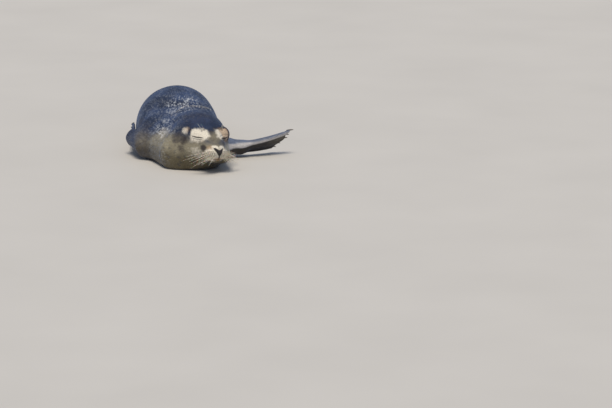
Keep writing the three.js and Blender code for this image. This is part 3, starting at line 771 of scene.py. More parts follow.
def round_eye(q, eye, corners, pale):
    """Cream, rust and dark shares of one eye's patch, of the line of its lids and of its brow."""
    s, v, w = eye.frame(q)
    seen = ramp(w, -42, -24)
    patch = in_patch(corners, s, v) * seen
    cream = pale * patch * (0.73 + 0.25 * ramp(v, -12, 0) - 0.1 * ramp(v, 14, 26))
    # lashless lids are edged with darker hair, and brow whiskers grow from dark spots
    dark = 0.9 * bump(eye.above_slit(s, v), 1.9) * ramp(np.abs(s), 21, 16) * seen
    for brow in brow_pores:
        off = np.linalg.norm((q * eye.side - brow) * (1, 1, 0.6), axis=1)
        dark = np.maximum(dark, 0.62 * ramp(off, 6.0, 1.6))
    return cream, 0.36 * patch * ramp(v, -3, -10), dark


def golden_patch(q):
    """Rust and dark shares of the left patch, golden brown to its outer side, with a dark rim."""
    s, v, w = LEFT_EYE.frame(q)
    rust = ramp(s, -16, 2) * ramp(np.hypot((s - 6) / 22, (v - 10) / 24), 1.3, 0.75) * ramp(w, -30, -16)
    rims = (
        0.85 * ramp(np.abs(s - 27 - 0.12 * v), 8, 3) * ramp(np.abs(v - 12), 30, 20) * ramp(w, -40, -24),
        0.7 * ramp(np.hypot((s + 5) / 15, (v + 2) / 6), 1.3, 0.6) * ramp(w, -20, -8),
        0.6 * ramp(np.abs(v - 33 + 0.12 * s), 7, 2) * ramp(np.abs(s - 2), 26, 16) * ramp(w, -40, -24),
    )
    return rust, np.max(rims, axis=0)


def head_markings(q):
    """How cream, how rusty and how dark each point of the head is."""
    x, y, z = q.T
    right = round_eye(q, RIGHT_EYE, RIGHT_PATCH, 1.0)
    left = round_eye(q, LEFT_EYE, LEFT_PATCH, 0.85)
    gold, rim = golden_patch(q)
    philtrum = 0.85 * bump(x - 5.5, 2.2) * ramp(z, -31, -35) * ramp(z, -47, -43) * ramp(y, -78, -84)
    cream = np.max([right[0], left[0], layered(q, CREAM_SPOTS)], axis=0)
    rust = np.max([right[1], left[1], gold, layered(q, RUST_SPOTS)], axis=0)
    dark = np.max([right[2], left[2], rim, philtrum, layered(q, DARK_SPOTS)], axis=0)
    m = mirrored(q)
    close = near_pads(m)
    for pore in left_pores:
        off = np.linalg.norm(m[close] - pore, axis=1)
        dark[close] = np.maximum(dark[close], 0.95 * ramp(off, 2.6, 1.1))
    return np.clip(cream, 0, 1), rust, dark


# %% Markings of the body
BELLY_LINE, BELLY_FADE = 110, 34  # height of the line where the back's slate ends, and half its width
SPECKLED = (((-5, 285, 165), (40, 90, 40)), ((-42, 172, 116), (36, 66, 34)),
            ((30, 230, 160), (60, 40, 30)), ((30, 332, 168), (52, 66, 30)))  # middles and half sizes
COLLAR = (-48, 148, 108), (24, 42, 27)  # pale flecks where the neck meets the head


def body_markings(p):
    """Shares of the pale underside, its browner hair and painted shade low down, the speckle, the fold's
    rim (pale hair and a painted highlight) and the right shoulder's painted shade.
    """
    x, y, z = p.T
    q = to_head(p)
    middle = BELLY_LINE - 20 * ramp(y, 140, 215) - 28 * ramp(y, 285, 345)
    under = ramp(z, middle + BELLY_FADE, middle - BELLY_FADE)
    shade = ramp(y, 178, 212) * ramp(-x, 55, 100) * ramp(y, 420, 330)  # painted shade on the right shoulder
    under = under * (1 - 0.3 * shade)
    on_head = ramp(q[:, 1], 75, 25)
    under = under * (1 - on_head) + ramp(q[:, 2], 30, -30) * on_head
    under = under * (1 - 0.75 * ramp(-x, 122, 146) * ramp(y, 205, 245))  # folded arm and flank
    # painted shade, partly browner hair: the underside turns to the throat colour towards the floor
    olive = 0.15 + 0.85 * ramp(z, 78, 24)
    under = np.maximum(under, 0.55 * spot(q, (-4, -66, 14), (26, 30, 26), 1.5, 0.5))
    # pale hair and a painted highlight along the rim of the nape fold
    rim = bump(behind_fold(p) + 4, 8) * ramp(np.abs(x - 46), 72, 40) * ramp(z, 118, 140)
    speckle = np.maximum(rim, 0.22 + 0.2 * ramp(np.abs(under - 0.35), 0.35, 0.1))
    for at, half in SPECKLED:
        speckle = np.maximum(speckle, spot(p, at, half, 1.25, 0.5))
    return under, olive, np.clip(speckle * ramp(q[:, 1], 15, 60), 0, 1), rim, shade * ramp(z, 135, 105)


def flipper_markings(p):
    """Shares of a flipper's grey hair, of the painted shade on its palm side and of the painted highlight
    along its first digit.
    """
    grey, palm, edge = np.zeros((3, len(p)))
    for name, blade in FLIPPERS.items():
        q = blade.local(p)
        near = np.argwhere((flipper(p, name) < 8) & (q[:, 0] > -60))[:, 0]
        if not len(near):
            continue
        x, y, z = q[near].T
        _, _, r, u, _ = blade.shape(x, y)
        z = (z - blade.rise(x)) / r
        # painted shade on the palm side, which faces down
        below = ramp(z, 0.1, -0.5) * ramp(u, -0.82, -0.62)
        share = ramp(blade.form(p[near]), 10, 2) * ramp(x, -30, 25)
        if name == "fore_left":  # held out, so its arm is marked too
            share = ramp(x, -58, -42)
        pale = 0.35 if name == "fore_right" else 1.0
        # painted highlight along the first digit, the leading edge that faces the light
        reach = ramp(x, 0, 40)
        line = ramp(np.abs(u + 1 - 0.2 * reach), 0.34 - 0.12 * reach, 0.16 - 0.1 * reach)
        line = line * ramp(z, 0.2, -0.5) * ramp(z, -2.2, -1.4)
        palm[near] = np.maximum(palm[near], below * share * (1 - 0.4 * ramp(x, 75, 125)))
        grey[near] = np.maximum(grey[near], pale * (1 - below) * share * (1 - 0.3 * reach))
        edge[near] = np.maximum(edge[near], pale * line * share)
    return grey, palm, edge


def markings(p):
    """Every share that the shader reads, by name."""
    cream, rust, dark = head_markings(to_head(p))
    under, olive, speckle, rim, shade = body_markings(p)
    grey, palm, edge = flipper_markings(p)
    # the collar's pale flecks, and the nape fold rim's pale hair and painted highlight, go into the cream
    cream = np.max([cream, 0.36 * rim, 0.36 * spot(p, *COLLAR, 1.3, 0.5)], axis=0)
    # the right shoulder's painted shade is drawn with the dark markings' colour
    dark = np.maximum(dark, 0.5 * shade)
    return dict(cream=cream, rust=rust, dark=dark, under=under * (1 - grey), olive=olive, speckle=speckle,
                flipper=grey, palm=palm, edge=edge)


skin_markings = markings(smooth_points) | marks
for name, share in skin_markings.items():
    print(f"{name:8s} covers {share.mean():.3f} of the corners")

# %% [markdown]
# ## Lie of the coat and its unwrap
#
# The hair runs back from the nose over the head, along the trunk and a little down the flanks, and out
# along the digits of each flipper. A coat that is combed by hand would follow the same lines. The unwrap
# is made of the same shapes: the head and neck open like a flower about the nose, the trunk like a barrel
# about its middle line, and each flipper as its two flat sides.

# %% Lie of the coat
def lie_of(p, normals):
    """Unit directions along the skin that the hair lies in."""
    q = to_head(p)
    from_nose = unit(unit(q - NOSE_IN_HEAD) + (0, 0.25, 0)) @ HEAD_AXES.T
    x, y, z = p.T
    side = (x - MIDDLE_X(y)) / 120
    back = unit(np.stack([0.12 * side, np.ones(len(p)), -0.30 * np.abs(side) * ramp(y, 900, 500)], 1))
    head = ramp(q[:, 1], 110, 10)[:, None]
    lie = unit(from_nose * head + back * (1 - head))
    for name, blade in FLIPPERS.items():
        b = blade.local(p)
        share = (ramp(flipper(p, name), 26, 4) * ramp(b[:, 0], -70, 10))[:, None]
        fan = 0.5 * b[:, 1] / blade.length
        out = np.stack([np.ones(len(p)), fan, np.zeros(len(p))], 1)
        lie = unit(lie * (1 - share) + unit(out * blade.flip @ blade.axes.T) * share)
    swirl = 0.16 * np.sin(x / 17 + 2 * np.sin(y / 31)) + 0.12 * np.sin(y / 13 + z / 19)
    lie = unit(lie - normals * (lie * normals).sum(1)[:, None])
    across = np.cross(normals, lie)
    return unit(lie * np.cos(swirl)[:, None] + across * np.sin(swirl)[:, None])


# %% Unwrap
def round_nose(p, reach):
    """Head and neck opened flat about the nose: distance and bearing from it, reach mm filling the map."""
    q = to_head(p) - NOSE_IN_HEAD
    far = np.linalg.norm(q, axis=1)
    bearing = np.arctan2(q[:, 2] + 0.18 * q[:, 1], q[:, 0])
    return 0.5 + 0.49 * np.stack([far * np.cos(bearing), far * np.sin(bearing)], 1) / reach


def round_trunk(p, start, end):
    """The trunk as a barrel's wall, cut along the middle of the belly."""
    x, y, z = p.T
    low = BELLY_Z(y)
    bearing = np.arctan2(x - MIDDLE_X(y), z - low - WIDEST * (BACK_Z(y) - low))
    return np.stack([0.5 + 0.49 * bearing / np.pi, 0.01 + 0.98 * (y - start) / (end - start)], 1)


def on_flippers(p, which):
    """The fore or hind pair: each flipper's back and palm side by side, one flipper above the other."""
    uv = np.full((len(p), 2), 0.5)
    best = np.full(len(p), np.inf)
    for i, side in enumerate(("left", "right")):
        blade = FLIPPERS[f"{which}_{side}"]
        f, q = blade.form(p), blade.local(p)
        u = 0.01 + 0.48 * np.clip((q[:, 0] + 70) / 245, 0, 1) + 0.5 * (q[:, 2] < blade.rise(q[:, 0]))
        v = (i + 0.5 + 0.46 * np.clip(q[:, 1] / 62, -1, 1)) / 2
        nearer = f < best
        uv[nearer] = np.stack([u, v], 1)[nearer]
        best = np.minimum(best, f)
    return uv

# %% [markdown]
# ## Colours and shader nodes
#
# Hair and bare skin are coloured by pigment, so each colour is one sRGB hex value typical of such animals,
# turned to linear light by one function. Some colours and shares also paint light and shade: shade low on
# the body, on the right shoulder, on the flippers' palm sides and in the nostrils and ear pits, highlights
# along the nape fold and the flippers' first digits, and a blue sky reflection in the slate and the sheen.
# Shares from the mesh pick between those colours, and noise at a real size in millimetres breaks their
# edges, as hairs of two colours mix there.

# %% Colour and node helpers
def linear(hex_colour):
    """sRGB hex to the linear colour that shaders use."""
    parts = [int(hex_colour[i : i + 2], 16) / 255 for i in (1, 3, 5)]
    return [c / 12.92 if c <= 0.04045 else ((c + 0.055) / 1.055) ** 2.4 for c in parts] + [1.0]


def node(tree, kind, inputs=(), to=None, **settings):
    """Adds a node with its settings and links.

    An input is a value, a socket, or a node whose first live output is used; "to" is the socket it feeds.
    """
    made = tree.nodes.new(kind if kind.startswith("Node") else "ShaderNode" + kind)
    for name, value in settings.items():
        setattr(made, name, value)
    for socket, value in dict(inputs).items():
        if isinstance(value, bpy.types.Node):
            value = next(out for out in value.outputs if out.enabled)
        if isinstance(value, bpy.types.NodeSocket):
            tree.links.new(value, made.inputs[socket])
        else:
            made.inputs[socket].default_value = value
    if to:
        tree.links.new(next(out for out in made.outputs if out.enabled), to)
    return made


def per_mm(size_mm):
    """Texture scale that gives features about size_mm across, in a scene of metres."""
    return 1000.0 / size_mm


SMOOTH, COLOURS = dict(interpolation_type="SMOOTHSTEP"), dict(data_type="RGBA")
TIMES, TIMES_ADD = dict(operation="MULTIPLY"), dict(operation="MULTIPLY_ADD")

HAIR = {
    # both slate tones are the coat's own grey, tinted blue by a painted reflection of blue sky
    "slate": "#222b40",
    "slate_light_sky_tinted": "#3b4b6c",
    "underside": "#a29a83",
    "throat_shadow": "#6a6149",
    "cream": "#ece5d5",
    "rust": "#b38e66",
    # dark markings, and the right shoulder's painted shade
    "umber": "#2b2228",
    "pale_ring": "#cbd0d6",
    # grey of the flippers' backs, tinted blue by a painted reflection of sky
    "flipper_back": "#717c92",
    # painted shade of the flippers' palm sides
    "palm": "#2d2a29",
    # painted highlight of the flippers' leading edges
    "flipper_edge": "#dad6d4",
}
HAIR = {name: linear(hex_colour) for name, hex_colour in HAIR.items()}

# %% Coat markings as a group of nodes
coat_markings = bpy.data.node_groups.new("seal_coat_markings", "ShaderNodeTree")
coat_markings.interface.new_socket("Colour", in_out="OUTPUT", socket_type="NodeSocketColor")
tree = coat_markings
root = node(tree, "Attribute", attribute_name="root").outputs["Vector"]
share = {
    name: node(tree, "Attribute", attribute_name=name).outputs["Fac"]
    for name in ("under", "olive", "speckle", "cream", "rust", "dark", "flipper", "palm", "edge", "tone")
}
noise = {
    size: node(tree, "TexNoise", {"Vector": root, "Scale": per_mm(size), "Detail": detail})
    for size, detail in ((85, 2.0), (24, 3.0), (7, 2.0), (2.2, 2.0))
}
ragged = {}  # shares whose edges noise breaks up: which noise, and how far it pushes them
for name, size, push in (("under", 24, 0.6), ("cream", 7, 0.9), ("rust", 24, 1.0), ("dark", 7, 0.7)):
    moved = node(tree, "Math", {0: noise[size], 1: push, 2: share[name]}, **TIMES_ADD)
    ragged[name] = node(tree, "MapRange", {0: moved, 1: 0.08 + push / 2, 2: 0.92 + push / 2}, **SMOOTH)

# %% Pale rings and flecks, and dark spots, mm across
warp = node(tree, "TexNoise", {"Vector": root, "Scale": per_mm(30)})
warp = node(tree, "VectorMath", {0: warp.outputs["Color"], 3: 0.03}, operation="SCALE")
bent = node(tree, "VectorMath", {0: root, 1: warp}, operation="ADD")
cells = node(tree, "TexVoronoi", {"Vector": bent, "Scale": per_mm(34)})
ring = node(tree, "Math", {0: cells, 1: 0.38}, operation="SUBTRACT")
ring = node(tree, "Math", {0: ring}, operation="ABSOLUTE")
ring = node(tree, "MapRange", {0: ring, 1: 0.13, 2: 0.03}, **SMOOTH)
broken = node(tree, "MapRange", {0: noise[7], 1: 0.42, 2: 0.6, 4: 0.75}, **SMOOTH)
ring = node(tree, "Math", {0: ring, 1: broken}, **TIMES)
flecks = node(tree, "MapRange", {0: noise[7], 1: 0.52, 2: 0.64, 4: 0.85}, **SMOOTH)
pale = node(tree, "Math", {0: ring, 1: flecks}, operation="MAXIMUM")
pale = node(tree, "Math", {0: pale, 1: share["speckle"]}, **TIMES)
dots = node(tree, "TexVoronoi", {"Vector": bent, "Scale": per_mm(23)})
dots = node(tree, "MapRange", {0: dots, 1: 0.3, 2: 0.2, 4: 0.35}, **SMOOTH)
off_cream = node(tree, "MapRange", {0: share["cream"], 1: 0.3, 2: 0.0})
dots = node(tree, "Math", {0: dots, 1: off_cream}, **TIMES)

# %% Layers of colour, from the ground colour up
bloom = node(tree, "MapRange", {0: noise[85], 1: 0.35, 2: 0.68}, **SMOOTH)
# painted shade low on the body, partly browner hair: the underside mixes into the throat colour towards the
# floor, broken up by noise
cloudy_low_shade = node(tree, "Math", {0: noise[24], 1: 0.9, 2: share["olive"]}, **TIMES_ADD)
cloudy_low_shade = node(tree, "MapRange", {0: cloudy_low_shade, 1: 0.35, 2: 1.35}, **SMOOTH)
below = node(tree, "Mix", {0: cloudy_low_shade, 6: HAIR["underside"], 7: HAIR["throat_shadow"]}, **COLOURS)
colour = node(tree, "Mix", {0: bloom, 6: HAIR["slate"], 7: HAIR["slate_light_sky_tinted"]}, **COLOURS)
colour = node(tree, "Mix", {0: ragged["under"], 6: colour, 7: below}, **COLOURS)
for amount, weight, name in (
    (pale, 1.0, "pale_ring"),
    (dots, 1.0, "slate"),
    (share["flipper"], 0.85, "flipper_back"),
    (share["palm"], 0.92, "palm"),
    (share["edge"], 0.85, "flipper_edge"),
    (ragged["cream"], 1.0, "cream"),
    (ragged["rust"], 0.6, "rust"),
    (ragged["dark"], 0.85, "umber"),
):
    amount = node(tree, "Math", {0: amount, 1: weight}, **TIMES)
    colour = node(tree, "Mix", {0: amount, 6: colour, 7: HAIR[name]}, **COLOURS)
strands = node(tree, "MapRange", {0: noise[2.2], 1: 0.3, 2: 0.7, 3: 0.88, 4: 1.12})
value = node(tree, "Math", {0: share["tone"], 1: 0.12, 2: strands}, **TIMES_ADD)
toned = node(tree, "HueSaturation", {"Value": value, "Color": colour})
node(tree, "NodeGroupOutput", {"Colour": toned})
print("coat markings use", len(tree.nodes), "nodes")

# %% [markdown]
# ## Hair and hide
#
# Guard hair is keratin: a dielectric of IOR 1.55 whose many parallel fibres scatter a broad, soft
# highlight, so roughness sits near one half and a little sheen lights the edge where fibres stand
# against the light. Hide under the hairs is a little darker and duller. The finest hair is too thin to
# draw, so streaks about 1.2 mm apart stand for it in the bump.

# %% Materials of the coat and the hide
def start_material(name, **constants):
    """A material whose Principled shader has these sockets set directly."""
    material = bpy.data.materials.new(name)
    material.use_nodes = True
    shader = material.node_tree.nodes["Principled BSDF"]
    for socket, value in constants.items():
        shader.inputs[socket.replace("_", " ")].default_value = value
    return material, material.node_tree, shader


# the sheen is tinted blue: a painted reflection of blue sky on the sleek coat
hair, tree, shader = start_material("guard_hair_keratin_flat", IOR=1.55, Specular_IOR_Level=0.3,
                                    Sheen_Weight=0.2, Sheen_Roughness=0.45, Sheen_Tint=linear("#9ab9f0"))
node(tree, "Group", to=shader.inputs["Base Color"], node_tree=coat_markings)
root = node(tree, "Attribute", attribute_name="root").outputs["Vector"]
sleek = node(tree, "TexNoise", {"Vector": root, "Scale": per_mm(40)})
node(tree, "MapRange", {0: sleek, 3: 0.42, 4: 0.66}, to=shader.inputs["Roughness"])

hide, tree, shader = start_material("seal_hide_under_hair", IOR=1.5, Sheen_Weight=0.12, Sheen_Roughness=0.5)
colour = node(tree, "HueSaturation", {"Value": 0.9, "Color": node(tree, "Group", node_tree=coat_markings)})
# nostril and ear colours paint the shade inside those openings; pore, lip, lid and leather colours are bare
# skin's own
for name, hex_colour, weight in (
    ("pore", "#2c2422", 0.8), ("lip", "#4a3029", 0.9), ("lid", "#2a201f", 0.95),
    ("leather", "#2c282b", 1.0), ("ear", "#241c1b", 0.95), ("nostril", "#0e0c0d", 1.0),
):
    bare = node(tree, "Attribute", attribute_name=name).outputs["Fac"]
    amount = node(tree, "Math", {0: bare, 1: weight}, **TIMES)
    colour = node(tree, "Mix", {0: amount, 6: colour, 7: linear(hex_colour)}, **COLOURS)
tree.links.new(colour.outputs[2], shader.inputs["Base Color"])
root = node(tree, "Attribute", attribute_name="root").outputs["Vector"]
streaks = node(tree, "TexNoise", {"Vector": root, "Scale": per_mm(1.2), "Detail": 2.0})
node(tree, "Bump", {"Strength": 0.5, "Distance": 0.0003, "Height": streaks}, to=shader.inputs["Normal"])
node(tree, "MapRange", {0: streaks, 3: 0.5, 4: 0.7}, to=shader.inputs["Roughness"])

# %% [markdown]
# ## The skin as a piece
#
# One mesh stands for all the flesh, so no seam shows between head, neck, trunk and flippers.

# %% Skin piece
def mesh_from(name, points_mm, faces, material):
    """A smooth-shaded mesh object from points in mm and an array of corner numbers for each face."""
    faces = np.asarray(faces, np.int32)
    mesh = bpy.data.meshes.new(name)
    mesh.vertices.add(len(points_mm))
    mesh.vertices.foreach_set("co", metres(points_mm).astype(np.float32).ravel())
    mesh.loops.add(faces.size)
    mesh.loops.foreach_set("vertex_index", faces.ravel())
    mesh.polygons.add(len(faces))
    mesh.polygons.foreach_set("loop_start", np.arange(0, faces.size, faces.shape[1], dtype=np.int32))
    mesh.update(calc_edges=True)
    mesh.shade_smooth()
    mesh.materials.append(material)
    made = bpy.data.objects.new(name, mesh)
    bpy.context.scene.collection.objects.link(made)
    return made


def carry(mesh, shares, points_mm=None):
    """Stores shares, and root places in metres, on a mesh's corners."""
    if points_mm is not None:
        layer = mesh.attributes.new("root", "FLOAT_VECTOR", "POINT")
        layer.data.foreach_set("vector", (np.asarray(points_mm) * 0.001).astype(np.float32).ravel())
    for name, amount in shares.items():
        mesh.attributes.new(name, "FLOAT", "POINT").data.foreach_set("value", amount.astype(np.float32))


FLESH = ["head", "lower_jaw", "neck", "shoulders", "belly", "hips", "tail"]
FLESH += [f"{which}_flipper_{side}" for which in ("fore", "hind") for side in ("left", "right")]

bmesh.ops.triangulate(skin_mesh, faces=skin_mesh.faces[:])
skin_mesh.verts.index_update()
skin_faces = np.array([[v.index for v in f.verts] for f in skin_mesh.faces])
skin = mesh_from("skin", skin_points, skin_faces, hide)
carry(skin.data, skin_markings, skin_points)
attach(skin, "root")
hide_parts(*FLESH)
print("skin", len(skin_faces), "triangles")

# %% [markdown]
# ## The coat
#
# A harbor seal's hair is short and lies flat: 11 mm guard hairs on the trunk, 8 mm on the neck, 3 to 5 mm
# on the face and flippers. Particle hair would look right in a render but is lost when the model leaves
# Blender, so every tuft is a small closed blade of ten triangles: three corners let into the skin, three
# half way, and a tip. Each follows the skin below it. Tufts overlap like roof tiles, and each has its
# root's marks. Their shading normals are those of the skin with a slight lean, so the coat shines as one
# sleek surface and not as chips.

# %% Tuft sizes
TRUNK_TUFT, FLIPPER_TUFT = (11, 2.2), (5.5, 1.6)  # length and width in mm
HAIR_RADIANS = 0.13  # how far hairs stray from the way they lie


def hair_sizes(p):
    """Length and width of a tuft in mm at each place, and how far its tip stands off the skin."""
    q = to_head(p)
    neck, face = ramp(q[:, 1], 190, 90), ramp(q[:, 1], 20, -45)
    blade = flipper_share(p, 3, 18)
    muzzle, lid = ramp(q[:, 1], -55, -85), np.zeros(len(p))
    for eye in (RIGHT_EYE, LEFT_EYE):
        s, v, w = eye.frame(q)
        lid = np.maximum(lid, ramp(np.hypot(s, 1.3 * v), 34, 18) * ramp(w, -20, -8))
    length = (TRUNK_TUFT[0] - 3 * neck - 3.8 * face - 1.3 * muzzle) * (1 - 0.4 * lid)
    width = (TRUNK_TUFT[1] - 0.5 * neck - 0.8 * face - 0.15 * muzzle) * (1 - 0.25 * lid)
    length = length * (1 - blade) + FLIPPER_TUFT[0] * blade
    width = width * (1 - blade) + FLIPPER_TUFT[1] * blade
    return length, width, 0.75 * coat_depth(p) * (1 - 0.4 * lid)


COVER, BLADE_FILL = 1.6, 0.55  # layers of tufts over each place, and the share of its box that a tuft fills
BARE_ABOVE = {"leather": 0.35, "nostril": 0.25, "lid": 0.3, "lip": 0.6, "ear": 0.45, "pore": 0.5}
NO_ROOM, LITTLE_ROOM = 2.2, 5  # mm over the floor: no tufts there, and none that face it

corners = skin_points[skin_faces]
crosses = np.cross(corners[:, 1] - corners[:, 0], corners[:, 2] - corners[:, 0])
areas, middles = 0.5 * np.linalg.norm(crosses, axis=1), corners.mean(1)
lengths, widths, _ = hair_sizes(middles)
wanted = COVER * areas / (BLADE_FILL * lengths * widths)
for name, limit in BARE_ABOVE.items():
    wanted[marks[name][skin_faces].max(1) > limit] = 0
facing_floor = (crosses[:, 2] / (2 * areas) < -0.8) & (middles[:, 2] < LITTLE_ROOM)
wanted[(middles[:, 2] < NO_ROOM) | facing_floor] = 0

# %% Roots, spread evenly over the skin
running = np.cumsum(wanted)
count = int(running[-1])
chosen = np.searchsorted(running, (np.arange(count) + rng.random(count)) * running[-1] / count)
chosen = np.minimum(chosen, len(skin_faces) - 1)
a, b = rng.random(count), rng.random(count)
a, b = np.where(a + b > 1, 1 - a, a), np.where(a + b > 1, 1 - b, b)
weights = np.stack([1 - a - b, a, b], 1)[:, :, None]
roots = (skin_points[skin_faces[chosen]] * weights).sum(1)
ups = unit((skin_normals[skin_faces[chosen]] * weights).sum(1))
lies = lie_of(roots, ups)
across = np.cross(ups, lies)
stray = rng.normal(0, HAIR_RADIANS, count)[:, None]
lies = unit(lies * np.cos(stray) + across * np.sin(stray))
across = np.cross(ups, lies)
print("tufts", count, "triangles", 10 * count)

# %% Blades that follow the skin
ROOT_DEPTH, TUFT_OFF_FLOOR, SIDE_LEAN = 0.45, 0.3, 0.25  # mm, mm, and how far a blade's sides face outward
under_coat = BVHTree.FromBMesh(skin_mesh)


def above_skin(points, heights):
    """The points moved to these heights over the skin below them."""
    found = [under_coat.find_nearest(p)[:2] for p in points.tolist()]
    at, up = np.array([f[0] for f in found]), np.array([f[1] for f in found])
    return at + up * heights[:, None]


length, width, stand = hair_sizes(roots)
length = length * rng.uniform(0.8, 1.2, count)
stand = stand * rng.uniform(0.45, 1.1, count)
thick = 0.18 + 0.09 * width
middle = above_skin(roots + lies * (0.5 * length)[:, None], 0.35 + 0.4 * stand)
tip = above_skin(roots + lies * length[:, None], 0.15 + stand)
half = (0.5 * width)[:, None] * across
rise = thick[:, None] * ups
low = roots - ROOT_DEPTH * ups
tuft_points = np.stack([low + 0.8 * half, low + rise + ROOT_DEPTH * ups, low - 0.8 * half,
                        middle + half, middle + rise, middle - half, tip], 1)
tuft_points[..., 2] = np.maximum(tuft_points[..., 2], TUFT_OFF_FLOOR)
TUFT_FACES = np.array([[0, 2, 1], [0, 1, 4], [0, 4, 3], [1, 2, 5], [1, 5, 4], [2, 0, 3], [2, 3, 5],
                       [3, 4, 6], [4, 5, 6], [5, 3, 6]])
lean = 0.10 * lies * rng.normal(0.6, 1, count)[:, None] + 0.07 * across * rng.normal(0, 1, count)[:, None]
lean = unit(ups + lean)
tilts = unit(np.stack([lean + SIDE_LEAN * across, lean, lean - SIDE_LEAN * across] * 2 + [lean], 1))
tuft_marks = markings(roots)
tuft_marks["tone"] = np.clip(rng.normal(0, 0.6, count), -1.2, 1.2)

# %% Coat pieces
TUFT_ON_MAP = 0.0015 * np.array([[1, -1], [0, -1], [-1, -1], [1, 0], [0, 0], [-1, 0], [0, 1]])
head_back = to_head(roots)[:, 1]
on_blade = flipper_share(roots, 3, 16) > 0.5
forward = roots[:, 1] < 620
body_back = roots[:, 1]
regions = (  # name, which tufts, unwrap and its sizes, slot; each takes what those before it leave
    ("coat_fore_flippers", on_blade & forward, on_flippers, ["fore"], "coat_flipper"),
    ("coat_hind_flippers", on_blade & ~forward, on_flippers, ["hind"], "coat_flipper"),
    ("coat_muzzle", head_back < -60, round_nose, [75], "coat_face"),
    ("coat_face", head_back < -18, round_nose, [135], "coat_face"),
    ("coat_crown", head_back < 72, round_nose, [230], "coat_face"),
    ("coat_neck", body_back < 235, round_trunk, [30, 245], "coat_neck"),
    ("coat_shoulders", body_back < 360, round_trunk, [225, 370], "coat_back"),
    ("coat_ribs", body_back < 490, round_trunk, [350, 500], "coat_back"),
    ("coat_loin", body_back < 640, round_trunk, [480, 650], "coat_back"),
    ("coat_hips", body_back >= 640, round_trunk, [630, 960], "coat_back"),
)
left = np.ones(count, bool)
for name, here, unwrap, sizes, slot in regions:
    mine = np.argwhere(left & here)[:, 0]
    left &= ~here
    n = len(mine)
    faces = (TUFT_FACES[None] + 7 * np.arange(n)[:, None, None]).reshape(-1, 3)
    piece = mesh_from(name, tuft_points[mine].reshape(-1, 3), faces, hair)
    shares = {mark: np.repeat(share[mine], 7) for mark, share in tuft_marks.items()}
    carry(piece.data, shares, np.repeat(roots[mine], 7, 0))
    uv = np.clip(unwrap(roots[mine], *sizes), 0.002, 0.998)[:, None] + TUFT_ON_MAP
    layer = piece.data.uv_layers.new(name="OFBake")
    layer.data.foreach_set("uv", uv.reshape(-1, 2)[faces.ravel()].astype(np.float32).ravel())
    piece.data.normals_split_custom_set_from_vertices(tilts[mine].reshape(-1, 3))
    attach(piece, "root")
    print(f"{name:20s} {n:6d} tufts {10 * n:7d} triangles")

# %% [markdown]
# ## Nose leather and lid margins
#
# The nose is bare: a dark, fine-grained leather that stays moist, so it is smoother than hide but its
# grain still breaks the shine. The lids' edges are bare and moist too. Both are peeled from the skin's own
# faces, set a third of a millimetre out and given a back and a rim, so they fit every nostril and lip.

# %% Moist leather and the lids' edges
leather, tree, shader = start_material("nose_leather_moist", IOR=1.42, Coat_Weight=0.25,
                                       Coat_Roughness=0.25)
place = node(tree, "TexCoord").outputs["Object"]
grain = node(tree, "TexVoronoi", {"Vector": place, "Scale": per_mm(1.3)})
worn = node(tree, "TexNoise", {"Vector": place, "Scale": per_mm(9)})
node(tree, "Mix", {0: worn, 6: linear("#171518"), 7: linear("#393438")},
     to=shader.inputs["Base Color"], **COLOURS)
node(tree, "MapRange", {0: grain, 3: 0.34, 4: 0.6}, to=shader.inputs["Roughness"])
node(tree, "Bump", {"Strength": 0.45, "Distance": 0.0002, "Height": grain}, to=shader.inputs["Normal"])

margin, tree, shader = start_material("eyelid_margin_moist", IOR=1.4, Coat_Weight=0.5, Coat_Roughness=0.12)
damp = node(tree, "TexNoise", {"Vector": node(tree, "TexCoord").outputs["Object"], "Scale": per_mm(2.5)})
node(tree, "Mix", {0: damp, 6: linear("#15100f"), 7: linear("#3a2c29")},
     to=shader.inputs["Base Color"], **COLOURS)
node(tree, "MapRange", {0: damp, 3: 0.2, 4: 0.45}, to=shader.inputs["Roughness"])


def peel(name, wanted, out, back, material):
    """A closed shell from the wanted skin faces, its face out mm above the skin and its back below it."""
    faces = skin_faces[wanted]
    used, flat = np.unique(faces, return_inverse=True)
    faces, n = flat.reshape(-1, 3), len(used)
    edges = np.concatenate([faces[:, [0, 1]], faces[:, [1, 2]], faces[:, [2, 0]]])
    keys = set(map(tuple, edges.tolist()))
    rim = np.array([e for e in keys if (e[1], e[0]) not in keys])
    a, b = rim.T
    walls = [np.stack([b, a, a + n], 1), np.stack([b, a + n, b + n], 1)]
    at, up = skin_points[used], skin_normals[used]
    made = np.concatenate([faces, faces[:, ::-1] + n, *walls])
    return mesh_from(name, np.concatenate([at + out * up, at - back * up]), made, material)


nose = peel("nose_leather", marks["leather"][skin_faces].min(1) > 0.45, 0.3, 0.6, leather)
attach(nose, "root")
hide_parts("nose")
left_half = to_head(skin_points[skin_faces].mean(1))[:, 0] > 0
for side, half in (("left", left_half), ("right", ~left_half)):
    lid = peel(f"eyelid_margin_{side}", (marks["lid"][skin_faces].min(1) > 0.6) & half, 0.05, 0.3, margin)
    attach(lid, "root")
print("nose leather", len(nose.data.polygons), "faces")

# %% [markdown]
# ## Eyeballs
#
# A seal's eye is large and nearly all dark. Asleep, only a line of it could show between the lids, but it
# is modelled whole and at its true depth, as the lids would look hollow over a flat filling.

# %% Eyeballs behind the lids
wet, tree, shader = start_material("wet_cornea_over_dark_iris", IOR=1.376, Roughness=0.06, Coat_Weight=1.0)
iris = node(tree, "TexNoise", {"Vector": node(tree, "TexCoord").outputs["Object"], "Scale": per_mm(3)})
node(tree, "Mix", {0: iris, 6: linear("#050405"), 7: linear("#1a1210")},
     to=shader.inputs["Base Color"], **COLOURS)
EYE_RADIUS = 12.4


